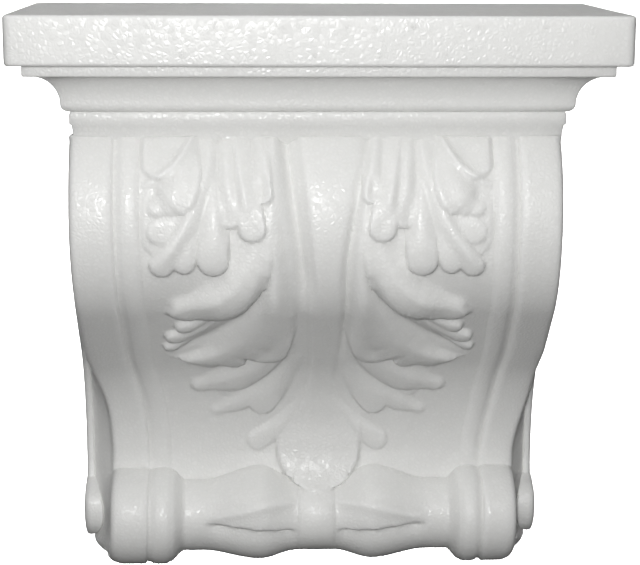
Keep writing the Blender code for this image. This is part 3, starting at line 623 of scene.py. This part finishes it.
def front_grid(places, runs, angles):
    """Depth and height of every point on the ribbon and the roll."""
    out, down = np.meshgrid(places, runs)
    depth, height, normal_out, normal_up = line_point(down)
    wake = smooth_step(down, 0.0, 0.6)
    foot = np.clip((down - CURVED_LENGTH) / FOOT_LENGTH, 0.0, 1.0)
    relief = (ribbon_section(out) + leaf_relief(out, down) * field_mask(out)) * wake
    relief = relief * mix(1.0, FOOT_RELIEF, foot)
    start = math.radians(ROLL_START_ANGLE)
    crease = -ROLL_CENTRE_DROP + roll_radius(out, ROLL_START_ANGLE) * math.sin(start)
    height = np.where(foot > 0, mix(THROAT_FOOT, crease, foot), height)
    upper = (depth + relief * normal_out, height + relief * normal_up)
    out, turn = np.meshgrid(places, angles)
    radius = roll_radius(out, turn)
    lower_depth = ROLL_CENTRE_DEPTH + radius * np.cos(np.radians(turn))
    lower_height = -ROLL_CENTRE_DROP + radius * np.sin(np.radians(turn))
    return np.vstack([upper[0], lower_depth]), np.vstack([upper[1], lower_height])


def lay_tongue(places, depth, height):
    """Draw the end of the mid rib out over the roll as a rounded tongue that bridges the crease."""
    across = np.abs(places - TONGUE_CENTRE)[None, :] / TONGUE_HALF + np.zeros(depth.shape)
    fall = (-height - TONGUE_RISE_DROP) / (TONGUE_END_DROP - TONGUE_RISE_DROP)
    share = np.clip(fall, 0.0, 1.0)
    end = np.clip((fall - TONGUE_STRAIGHT) / (1.0 - TONGUE_STRAIGHT), 0.0, 2.0)
    reach = (across ** TONGUE_SQUARENESS + end ** TONGUE_SQUARENESS) ** (1.0 / TONGUE_SQUARENESS)
    inside = (1.0 - reach) * TONGUE_HALF
    crown = THROAT_DEPTH + RIB_HEIGHT + TONGUE_RISE * share ** TONGUE_CURL - TONGUE_CROWN * across ** 2
    under = depth + TONGUE_THICKNESS
    close = np.clip(1.0 - np.abs(crown - under) / TONGUE_BLEND_REACH, 0.0, 1.0)
    laid = np.maximum(crown, under) + TONGUE_BLEND * close ** 2
    laid = mix(depth, laid, smooth_step(inside, 0.0, 1.5) * smooth_step(fall, TONGUE_FIRST, 0.3))
    return np.where((fall > TONGUE_FIRST) & (fall < TONGUE_LAST), laid, depth)


places = front_places()
runs = np.concatenate([[0.0, 0.2, 0.4, 0.6], np.linspace(1.3, CURVED_LENGTH, BODY_ROWS - 10)])
runs = np.concatenate([runs, CURVED_LENGTH + FOOT_LENGTH * np.linspace(0.0, 1.0, 7)[1:]])
angles = np.linspace(ROLL_START_ANGLE, -90.0, ROLL_ROWS + 1)[1:]
front_depth, front_height = front_grid(places, runs, angles)
front_depth = lay_tongue(places, front_depth, front_height)
print("front grid:", front_depth.shape)

# %% [markdown]
# The sides
#
# The photograph shows only a strip of the cheeks that stand a little wider than the ribbon, with a small
# scroll at their foot. The rest is finished the way such corbels are: a rim follows the S-line, the
# field inside it is sunk, and a scroll winds into an eye behind the bulge. Each row of the grid turns the
# corner from the ribbon to the cheek and runs back to the wall.

# %% Side grid
CHEEK_SET_BACK_TOP = 6.0
CHEEK_SET_BACK = 10.0
CHEEK_WALL_HALF = 91.8
CHEEK_DRAFT = 0.03
CHEEK_ROUNDING = 1.6
CHEEK_INNER_HALF = 88.3
SCROLL_CENTRE_DEPTH = 17.5
SCROLL_CENTRE_DROP = 202.0
SCROLL_RADIUS = 13.0
SCROLL_START_ANGLE = 60.0
SCROLL_WIDENING = 4.6
SCROLL_PROUD = 0.8
SCROLL_ROUNDING = 1.4
SCROLL_EYE_RADIUS = 4.0
SLANT_STEPS = 4
CORNER_TURNS = 4
SIDE_RIM = 7.0
SIDE_SINK = 1.6
EYE_DEPTH = 41.0
EYE_DROP = 82.0
EYE_RADIUS = 5.5
WINDING_RADIUS = 29.0
WINDING_GROWTH = 2.0
SIDE_COLUMNS = 34


def cheek_half(depth):
    return CHEEK_WALL_HALF - CHEEK_DRAFT * depth


def cheek_line(run):
    """The cheek's edge seen from the side: the ribbon's line set back along its normal."""
    depth, height, out, up = line_point(np.minimum(run, CURVED_LENGTH))
    back = mix(CHEEK_SET_BACK_TOP, CHEEK_SET_BACK, smooth_step(run, 60.0, TAPER_END))
    foot = np.clip((run - CURVED_LENGTH) / FOOT_LENGTH, 0.0, 1.0)
    height = height - back * up
    return depth - back * out, mix(height, CREASE, foot)


def winding(depth, height, centre, radius, eye):
    """A scroll: a spiral groove winding in to a round eye, as a height over the sunk field."""
    right = depth - centre[0]
    up = height - centre[1]
    away = np.maximum(np.hypot(right, up), 0.01)
    turns = np.arctan2(up, right) / (2 * math.pi) + np.log(away / eye) / math.log(WINDING_GROWTH)
    groove = np.abs((turns % 1.0) - 0.5) * 2.0
    band = smooth_step(groove, 0.1, 0.45)
    boss = np.sqrt(np.clip(1.0 - (away / eye) ** 2, 0.0, 1.0))
    level = np.where(away < eye, 0.4 + 0.8 * boss, band)
    return level * (1.0 - smooth_step(away, radius - 2.0, radius))


def side_relief(depth, height, from_edge):
    """How far the side stands in or out: the rim, the sunk field and the two scrolls."""
    rim = 1.0 - smooth_step(from_edge, SIDE_RIM - 0.9, SIDE_RIM + 0.9)
    upper = winding(depth, height, (EYE_DEPTH, -EYE_DROP), WINDING_RADIUS, EYE_RADIUS)
    lower = winding(depth, height, (SCROLL_CENTRE_DEPTH, -SCROLL_CENTRE_DROP), SCROLL_RADIUS - 1.5,
                    SCROLL_EYE_RADIUS)
    raised = np.maximum(rim, np.maximum(upper, lower))
    near_wall = 1.0 - smooth_step(depth, 3.0, 5.0)
    return SIDE_SINK * (np.maximum(raised, near_wall) - 1.0)


def side_grid():
    """Half width, depth and height of one side, from beside the ribbon's edge back to the wall."""
    share = (ROLL_START_ANGLE - angles) / (ROLL_START_ANGLE - angles[-1])
    turn = np.radians(mix(SCROLL_START_ANGLE, angles[-1], share))
    depth, height = cheek_line(runs)
    swing = SCROLL_CENTRE_DEPTH + SCROLL_RADIUS * math.cos(math.radians(SCROLL_START_ANGLE)) - depth[-1]
    swing = swing * (1.0 - smooth_step(share, -0.05, 0.28))
    depth = np.concatenate([depth, SCROLL_CENTRE_DEPTH + SCROLL_RADIUS * np.cos(turn) - swing])
    height = np.concatenate([height, -SCROLL_CENTRE_DROP + SCROLL_RADIUS * np.sin(turn)])
    run = np.concatenate([runs, np.full(len(angles), runs[-1])])
    wall = mix(TOP, height, smooth_step(run, 0.0, 20.0))
    boss = np.concatenate([np.zeros(len(runs)), np.sin(math.pi * np.clip(share * 1.15, 0.0, 1.0))])
    rounding = CHEEK_ROUNDING + SCROLL_ROUNDING * boss
    outer = cheek_half(depth) + SCROLL_PROUD * boss
    inner = np.minimum(outer - rounding - 0.6, CHEEK_INNER_HALF - SCROLL_WIDENING * boss)
    cells = [(inner, depth - 1.2 - boss, height), (inner + 0.5, depth - 0.2 - 0.4 * boss, height)]
    for step in range(CORNER_TURNS + 1):
        angle = math.pi / 2 * step / CORNER_TURNS
        corner = outer - rounding * (1 - math.sin(angle))
        cells.append((corner, depth - rounding * (1 - math.cos(angle)), height))
    for step in range(1, SIDE_COLUMNS + 1):
        share = step / SIDE_COLUMNS
        back = (depth - rounding) * (1.0 - share)
        level = mix(height, wall, share)
        relief = side_relief(back, level, depth - back)
        proud = SCROLL_PROUD * boss * (1.0 - share)
        half = cheek_half(back) + proud + (relief if step < SIDE_COLUMNS else 0.0)
        cells.append((half, back, level))
    return [np.stack(cell, axis=1) for cell in cells]


side_cells = side_grid()
print("side columns:", len(side_cells))

# %% [markdown]
# One closed skin
#
# The rows are joined into one skin that closes on itself: the head above, the grid of the body, the
# underside of the roll, and flat faces for the top and the back. The head needs few columns, apart from
# the rounded corners of its plate, so its last row is stitched to the body's first with faces that each
# span several columns. That keeps the count of triangles where the carving is.

# %% Skin
HEAD_COLUMN_STEP = 8
HEAD_SIDE_COLUMNS = 3
UNDERSIDE_ROWS = 4
CORNER_STEPS = 4
SMALL_CORNER = 0.6
HALF_TOTAL = (ROLL_CENTRE_DROP + ROLL_BAND_RADIUS) / 2


class Skin:
    """Points and faces of the skin. Rows of point numbers go in from the top down."""

    def __init__(self):
        self.points = []
        self.faces = []

    def row(self, out, depth, height):
        first = len(self.points)
        stack = np.stack([out, -np.asarray(depth), np.asarray(height) + HALF_TOTAL], axis=1) * MM
        self.points.extend(map(tuple, stack))
        return list(range(first, len(self.points)))

    def join(self, upper, lower):
        for k in range(len(upper) - 1):
            self.faces.append((upper[k], upper[k + 1], lower[k + 1], lower[k]))


def slant(edge, inner, swelling):
    """Points of the slanted side of the ribbon, between its edge and the cheek, swollen outwards."""
    shares = np.arange(1, SLANT_STEPS + 1) / (SLANT_STEPS + 1)
    points = np.array([mix(edge, inner, share) for share in shares])
    points[:, 0] += np.sign(edge[0]) * swelling * 4.0 * shares * (1.0 - shares)
    return points


def body_row(row):
    """Out, depth and height of one whole row, from the left wall round the front to the right wall."""
    run = runs[min(row, len(runs) - 1)]
    under = smooth_step(-angles[row - len(runs)], -10.0, 80.0) if row >= len(runs) else 0.0
    flare = under * (places / RIBBON_HALF) ** 3 * (ROLL_END_FLARE - ROLL_END_SKEW * np.sign(places))
    out = places / RIBBON_HALF * half_width(run) + lean(places, run) + flare + BODY_SHIFT
    front = np.stack([out, front_depth[row], front_height[row]], axis=1)
    right_side = np.array([cell[row] for cell in side_cells])
    left_side = right_side * (-1.0, 1.0, 1.0)
    right_side[:, 0] += BODY_SHIFT
    left_side[:, 0] += BODY_SHIFT
    left = np.vstack([slant(front[0], left_side[0], SLANT_SWELLING * under), left_side])[::-1]
    right = np.vstack([slant(front[-1], right_side[0], SLANT_SWELLING * under), right_side])
    return np.vstack([left, front, right]).T


def head_row(skin, inset, height, fronts):
    half = PLATE_WIDTH / 2 - inset
    depth = PLATE_DEPTH - MARK_PROUD - inset
    radius = max(PLATE_CORNER_RADIUS - inset, SMALL_CORNER)
    turn = np.linspace(0.0, math.pi / 2, CORNER_STEPS + 1)
    corner_out = half - radius * (1.0 - np.cos(turn))
    corner_depth = depth - radius * (1.0 - np.sin(turn))
    back = depth * np.arange(HEAD_SIDE_COLUMNS) / HEAD_SIDE_COLUMNS
    side = np.full(HEAD_SIDE_COLUMNS, half)
    out = np.concatenate([-side, -corner_out, fronts[1:-1] * half, corner_out[::-1], side])
    front = np.full(len(fronts) - 2, depth)
    depths = np.concatenate([back, corner_depth, front, corner_depth[::-1], back[::-1]])
    return skin.row(out, depths, np.full(len(out), height))


def stitch(skin, upper, lower, picks, side_count):
    """Join the head's few columns to the body's many, one wide face for each of the head's columns."""
    step = side_count / HEAD_SIDE_COLUMNS
    marks = [round(step * k) for k in range(HEAD_SIDE_COLUMNS)]
    ends = CORNER_STEPS * [picks[0]], CORNER_STEPS * [picks[-1]]
    marks += [side_count + pick for pick in ends[0] + picks + ends[1]]
    marks += [len(lower) - 1 - round(step * k) for k in range(HEAD_SIDE_COLUMNS - 1, -1, -1)]
    for k in range(len(marks) - 1):
        skin.faces.append([upper[k + 1], upper[k]] + lower[marks[k]:marks[k + 1] + 1])


def make_skin():
    skin = Skin()
    side_count = len(side_cells) + SLANT_STEPS
    picks = [0, *range(HEAD_COLUMN_STEP, len(places) - HEAD_COLUMN_STEP, HEAD_COLUMN_STEP), len(places) - 1]
    fronts = places[picks] / RIBBON_HALF
    head = [head_row(skin, inset, height, fronts) for inset, height in head_outline()]
    rows = [body_row(row) for row in range(front_depth.shape[0])]
    body = [skin.row(*row) for row in rows]
    for upper, lower in zip(head, head[1:]):
        skin.join(upper, lower)
    stitch(skin, head[-1], body[0], picks, side_count)
    for upper, lower in zip(body, body[1:]):
        skin.join(upper, lower)
    inner = side_count - SLANT_STEPS - 1
    low = [part[inner:len(part) - inner] for part in rows[-1]]
    previous = body[-1][inner:len(body[-1]) - inner]
    left_run, right_run = [previous[0]], [previous[-1]]
    for step in range(1, UNDERSIDE_ROWS + 1):
        current = skin.row(low[0], low[1] * (1.0 - step / UNDERSIDE_ROWS), low[2])
        skin.join(previous, current)
        previous = current
        left_run.append(current[0])
        right_run.append(current[-1])
    skin.faces.append(body[-1][:inner] + left_run)
    skin.faces.append(right_run[::-1] + body[-1][len(body[-1]) - inner:])
    skin.faces.append(head[0][::-1])
    walls = head + body
    skin.faces.append([row[0] for row in walls] + previous + [row[-1] for row in reversed(walls)])
    return skin


skin = make_skin()
print("skin:", len(skin.points), "points,", len(skin.faces), "faces")

# %% Mesh of the whole corbel
import bmesh

SHARP_ANGLE = math.radians(50.0)


def make_piece(skin):
    data = bpy.data.meshes.new("carved_corbel")
    data.from_pydata(skin.points, [], skin.faces)
    work = bmesh.new()
    work.from_mesh(data)
    bmesh.ops.recalc_face_normals(work, faces=work.faces)
    work.to_mesh(data)
    work.free()
    data.shade_smooth()
    data.set_sharp_from_angle(angle=SHARP_ANGLE)
    piece = bpy.data.objects.new("carved_corbel", data)
    bpy.context.scene.collection.objects.link(piece)
    return piece


corbel = make_piece(skin)
print("faces:", len(corbel.data.polygons))

# %% [markdown]
# The foam
#
# Expanded polystyrene is blown from beads that swell in the mould until they press flat on each other.
# A moulding of fine bead shows cells about 1.7 mm across with shallow seams between them. The walls are
# clear plastic, so single beads flash where the surface faces the light, and light wanders some
# millimetres through the foam, which softens every shadow on it. A Voronoi pattern is just such a packing
# of swollen beads. Its distance to the edge gives the seams, and its random colour gives each bead its
# own slight tone and gloss. Subsurface scattering of 4 mm stands for the wandering light.

# %% Bead foam material
BEAD_SIZE = 1.7
SEAM_DEPTH = 0.1
SEAM_STRENGTH = 0.7
SEAM_SHARE = 0.42
SCATTER_WEIGHT = 0.7
SCATTER_LENGTH = 4.0
POLYSTYRENE_IOR = 1.5
BEAD_TONES = {"To Min": 0.94, "To Max": 1.0}
SEAM_TONES = {"To Min": 0.9, "To Max": 1.0}
BEAD_GLOSS = {"To Min": 0.3, "To Max": 0.66}
DULL_FOAM = "#C9C9C7"
BRIGHT_FOAM = "#EFEFED"


def bead_foam(name, scatter_weight):
    material = bpy.data.materials.new(name)
    material.use_nodes = True
    tree = material.node_tree
    shader = tree.nodes["Principled BSDF"]
    shader.inputs["IOR"].default_value = POLYSTYRENE_IOR
    shader.inputs["Metallic"].default_value = 0.0
    shader.inputs["Subsurface Weight"].default_value = scatter_weight
    shader.inputs["Subsurface Radius"].default_value = (1.0, 1.0, 1.0)
    shader.inputs["Subsurface Scale"].default_value = SCATTER_LENGTH * MM
    place = add_node(tree, "ShaderNodeTexCoord").outputs["Object"]
    scale = 1.0 / (BEAD_SIZE * MM)
    cells = add_node(tree, "ShaderNodeTexVoronoi", {"feature": "F1"}, {"Scale": scale}, {"Vector": place})
    seams = add_node(tree, "ShaderNodeTexVoronoi", {"feature": "DISTANCE_TO_EDGE"}, {"Scale": scale},
                     {"Vector": place})
    random = add_node(tree, "ShaderNodeSeparateColor", links={"Color": cells.outputs["Color"]})
    dome = add_node(tree, "ShaderNodeMapRange", {"interpolation_type": "SMOOTHSTEP"},
                    {"From Max": SEAM_SHARE}, {"Value": seams.outputs["Distance"]})
    height = add_node(tree, "ShaderNodeBump", None, {"Strength": SEAM_STRENGTH, "Distance": SEAM_DEPTH * MM},
                      {"Height": dome.outputs["Result"]})
    tone = add_node(tree, "ShaderNodeMapRange", None, BEAD_TONES, {"Value": random.outputs["Red"]})
    seam_tone = add_node(tree, "ShaderNodeMapRange", None, SEAM_TONES, {"Value": dome.outputs["Result"]})
    shade = add_node(tree, "ShaderNodeMath", {"operation": "MULTIPLY"},
                     links={0: tone.outputs["Result"], 1: seam_tone.outputs["Result"]})
    colour = add_node(tree, "ShaderNodeMix", {"data_type": "RGBA", "blend_type": "MIX"},
                      {"A": linear(DULL_FOAM), "B": linear(BRIGHT_FOAM)}, {"Factor": shade.outputs[0]})
    gloss = add_node(tree, "ShaderNodeMapRange", None, BEAD_GLOSS, {"Value": random.outputs["Green"]})
    tree.links.new(colour.outputs["Result"], shader.inputs["Base Color"])
    tree.links.new(gloss.outputs["Result"], shader.inputs["Roughness"])
    tree.links.new(height.outputs["Normal"], shader.inputs["Normal"])
    return material


foam = bead_foam("expanded_polystyrene_fine_bead", SCATTER_WEIGHT)
corbel.data.materials.append(foam)
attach(corbel, "root")
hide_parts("corbel")
print("foam nodes:", len(foam.node_tree.nodes))

# %% [markdown]
# Vent marks on the plate
#
# Steam enters the mould through small round vents, and each one prints a ring with a pit in the foam. On
# this plate they sit in two rows, the upper one half a step to the right. They repeat at an even pitch,
# so Geometry Nodes place them: two lines of points, a small ring on each point, and a random size from a
# fixed seed, because foam prints no two alike. The rings are sunk in the foam and barely stand proud
# of it. The plate's front was set back by as much, so the whole stays as deep as the solid. Joined to the
# plate and with its scattering, the rings came out as dark dots, so they are a piece of their own, in the
# same foam without scattering.

# %% Vent marks
MARK_PITCH = 22.9
MARK_START = -71.3
MARK_DROP = 13.6
MARK_ROW_GAP = 9.6
MARK_RADIUS = 0.6
MARK_WIRE = 0.3
MARK_FLATNESS = 0.35
MARKS_IN_ROW = 7
MARK_DEPTH = PLATE_DEPTH - MARK_WIRE * MARK_FLATNESS
MARK_SIZES = {"Pitch": MARK_PITCH * MM, "Row Gap": MARK_ROW_GAP * MM, "Ring Radius": MARK_RADIUS * MM,
              "Wire Radius": MARK_WIRE * MM, "Start Out": MARK_START * MM,
              "Start Depth": -MARK_DEPTH * MM, "Start Up": (HALF_TOTAL - MARK_DROP) * MM}
MARK_SHRINK = (0.7, 1.0)
MARK_SEED = 4
RING_STEPS = 12
WIRE_STEPS = 6


def vent_mark_tree(material):
    """Two rows of points, a flattened ring on each, made real and given the material."""
    tree = bpy.data.node_groups.new("vent_marks", "GeometryNodeTree")
    tree.interface.new_socket("Geometry", in_out="OUTPUT", socket_type="NodeSocketGeometry")
    for name in MARK_SIZES:
        tree.interface.new_socket(name, in_out="INPUT", socket_type="NodeSocketFloat")
    tree.interface.new_socket("Marks In Row", in_out="INPUT", socket_type="NodeSocketInt")
    sizes = add_node(tree, "NodeGroupInput").outputs
    half_pitch = add_node(tree, "ShaderNodeMath", {"operation": "MULTIPLY"}, {1: 0.5}, {0: sizes["Pitch"]})
    shifted = add_node(tree, "ShaderNodeMath", {"operation": "ADD"},
                       links={0: sizes["Start Out"], 1: half_pitch.outputs[0]})
    raised = add_node(tree, "ShaderNodeMath", {"operation": "ADD"},
                      links={0: sizes["Start Up"], 1: sizes["Row Gap"]})
    step = add_node(tree, "ShaderNodeCombineXYZ", links={"X": sizes["Pitch"]}).outputs[0]
    rows = []
    for out, up in ((sizes["Start Out"], sizes["Start Up"]), (shifted.outputs[0], raised.outputs[0])):
        start = add_node(tree, "ShaderNodeCombineXYZ", links={"X": out, "Y": sizes["Start Depth"], "Z": up})
        rows.append(add_node(tree, "GeometryNodeMeshLine", {"mode": "OFFSET"}, None,
                             {"Count": sizes["Marks In Row"], "Start Location": start.outputs[0],
                              "Offset": step}).outputs["Mesh"])
    ring = add_node(tree, "GeometryNodeCurvePrimitiveCircle", None, {"Resolution": RING_STEPS},
                    {"Radius": sizes["Ring Radius"]})
    wire = add_node(tree, "GeometryNodeCurvePrimitiveCircle", None, {"Resolution": WIRE_STEPS},
                    {"Radius": sizes["Wire Radius"]})
    mark = add_node(tree, "GeometryNodeCurveToMesh", None, None,
                    {"Curve": ring.outputs["Curve"], "Profile Curve": wire.outputs["Curve"]})
    size = add_node(tree, "FunctionNodeRandomValue", {"data_type": "FLOAT"}, {"Seed": MARK_SEED})
    size.inputs[2].default_value, size.inputs[3].default_value = MARK_SHRINK
    spots = add_node(tree, "GeometryNodeJoinGeometry")
    for row in rows:
        tree.links.new(row, spots.inputs["Geometry"])
    flat = add_node(tree, "ShaderNodeCombineXYZ", None, {"Z": MARK_FLATNESS},
                    {"X": size.outputs[1], "Y": size.outputs[1]})
    placed = add_node(tree, "GeometryNodeInstanceOnPoints", None, {"Rotation": (math.pi / 2, 0.0, 0.0)},
                      {"Points": spots.outputs["Geometry"], "Instance": mark.outputs["Mesh"],
                       "Scale": flat.outputs[0]})
    real = add_node(tree, "GeometryNodeRealizeInstances", links={"Geometry": placed.outputs["Instances"]})
    dressed = add_node(tree, "GeometryNodeSetMaterial", None, {"Material": material},
                       {"Geometry": real.outputs["Geometry"]})
    add_node(tree, "NodeGroupOutput", links={"Geometry": dressed.outputs["Geometry"]})
    return tree


def make_vent_marks(material):
    """Run the tree on an empty piece, keep its result as a plain mesh and take the modifier off again."""
    piece = bpy.data.objects.new("vent_marks", bpy.data.meshes.new("vent_marks"))
    bpy.context.scene.collection.objects.link(piece)
    modifier = piece.modifiers.new("vent_marks", "NODES")
    modifier.node_group = vent_mark_tree(material)
    for item in modifier.node_group.interface.items_tree:
        if item.in_out == "INPUT" and item.name in MARK_SIZES:
            modifier[item.identifier] = MARK_SIZES[item.name]
        elif item.name == "Marks In Row":
            modifier[item.identifier] = MARKS_IN_ROW
    seen = piece.evaluated_get(bpy.context.evaluated_depsgraph_get())
    marked = bpy.data.meshes.new_from_object(seen)
    piece.modifiers.remove(modifier)
    piece.data = marked
    piece.data.shade_smooth()
    return piece


printed_foam = bead_foam("expanded_polystyrene_pressed_at_vents", 0.0)
vent_marks = make_vent_marks(printed_foam)
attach(vent_marks, "root")
print("faces of the marks:", len(vent_marks.data.polygons))

# %% [markdown]
# Floor, backdrop and light
#
# The corbel would be glued to a wall, but the photograph shows it alone on white. So it hangs in front
# of a pale paper sweep: a floor well below and behind it that curves up into a backdrop, where neither
# takes its shadow. A lamp behind the corbel faces the paper and whitens it. The corbel itself is lit by
# a flash beside the lens, which leaves the slope dark and sets small highlights on the bulge, by a
# softbox high in front, which darkens what lies under the plate and the leaf edges, and by a ceiling
# light for the top of the plate. Their watts were fitted so that the mix of the lights comes nearest to
# the greys of the photograph, which gives each light its share. The ceiling light was then turned down,
# because the top of the plate came out too bright.

# %% Paper sweep
FLOOR_DROP = 420.0
SWEEP_FRONT = 450.0
SWEEP_HALF = 3000.0
SWEEP_BEHIND = 1700.0
SWEEP_RADIUS = 700.0
SWEEP_STEPS = 24
PAPER_COLOUR = "#F6F6F5"
PAPER_ROUGHNESS = 0.9


def paper_sweep():
    line = [(SWEEP_FRONT, -FLOOR_DROP)]
    for step in range(SWEEP_STEPS + 1):
        angle = math.pi / 2 * step / SWEEP_STEPS
        line.append((SWEEP_BEHIND - SWEEP_RADIUS * (1.0 - math.sin(angle)),
                     -FLOOR_DROP + SWEEP_RADIUS * (1.0 - math.cos(angle))))
    line.append((SWEEP_BEHIND, SWEEP_HALF))
    points = [(side * SWEEP_HALF * MM, depth * MM, up * MM) for depth, up in line for side in (-1, 1)]
    faces = [(2 * k, 2 * k + 1, 2 * k + 3, 2 * k + 2) for k in range(len(line) - 1)]
    data = bpy.data.meshes.new("paper_sweep")
    data.from_pydata(points, [], faces)
    data.shade_smooth()
    sweep = bpy.data.objects.new("paper_sweep", data)
    bpy.context.scene.collection.objects.link(sweep)
    paper = bpy.data.materials.new("white_background_paper")
    paper.use_nodes = True
    shader = paper.node_tree.nodes["Principled BSDF"]
    shader.inputs["Base Color"].default_value = linear(PAPER_COLOUR)
    shader.inputs["Roughness"].default_value = PAPER_ROUGHNESS
    data.materials.append(paper)
    return sweep


sweep = paper_sweep()
print("sweep faces:", len(sweep.data.polygons))

# %% Light
FLASH_PLACE = (-50.0, -715.0, 165.0)
FLASH_SIZE = 70.0
FLASH_WATTS = 3.2
SOFTBOX_PLACE = (-350.0, -1100.0, 1500.0)
SOFTBOX_SIZE = 900.0
SOFTBOX_WATTS = 4.8
CEILING_PLACE = (0.0, -250.0, 1500.0)
CEILING_WATTS = 4.4
PAPER_LIGHT_PLACE = (0.0, 500.0, 700.0)
PAPER_LIGHT_AIM = (0.0, 1350.0, -300.0)
PAPER_LIGHT_SIZE = 700.0
PAPER_LIGHT_WATTS = 18.0
PAPER_LIGHT_SPREAD = 90.0
FILL_STRENGTH = 0.01


def soft_light(name, place, size, watts, aim=(0.0, 0.0, 0.0), spread=180.0):
    data = bpy.data.lights.new(name, "AREA")
    data.shape = "DISK"
    data.spread = math.radians(spread)
    data.size = size * MM
    data.energy = watts
    lamp = bpy.data.objects.new(name, data)
    lamp.location = Vector(place) * MM
    lamp.rotation_euler = (Vector(aim) * MM - lamp.location).to_track_quat("-Z", "Y").to_euler()
    bpy.context.scene.collection.objects.link(lamp)
    return lamp


soft_light("flash", FLASH_PLACE, FLASH_SIZE, FLASH_WATTS)
soft_light("softbox", SOFTBOX_PLACE, SOFTBOX_SIZE, SOFTBOX_WATTS)
soft_light("ceiling_light", CEILING_PLACE, SOFTBOX_SIZE, CEILING_WATTS)
soft_light("paper_light", PAPER_LIGHT_PLACE, PAPER_LIGHT_SIZE, PAPER_LIGHT_WATTS, PAPER_LIGHT_AIM,
           PAPER_LIGHT_SPREAD)
world = bpy.data.worlds.new("studio")
world.use_nodes = True
background = world.node_tree.nodes["Background"]
background.inputs["Color"].default_value = linear("#FFFFFF")
background.inputs["Strength"].default_value = FILL_STRENGTH
bpy.context.scene.world = world
bpy.context.scene.view_settings.view_transform = "Standard"
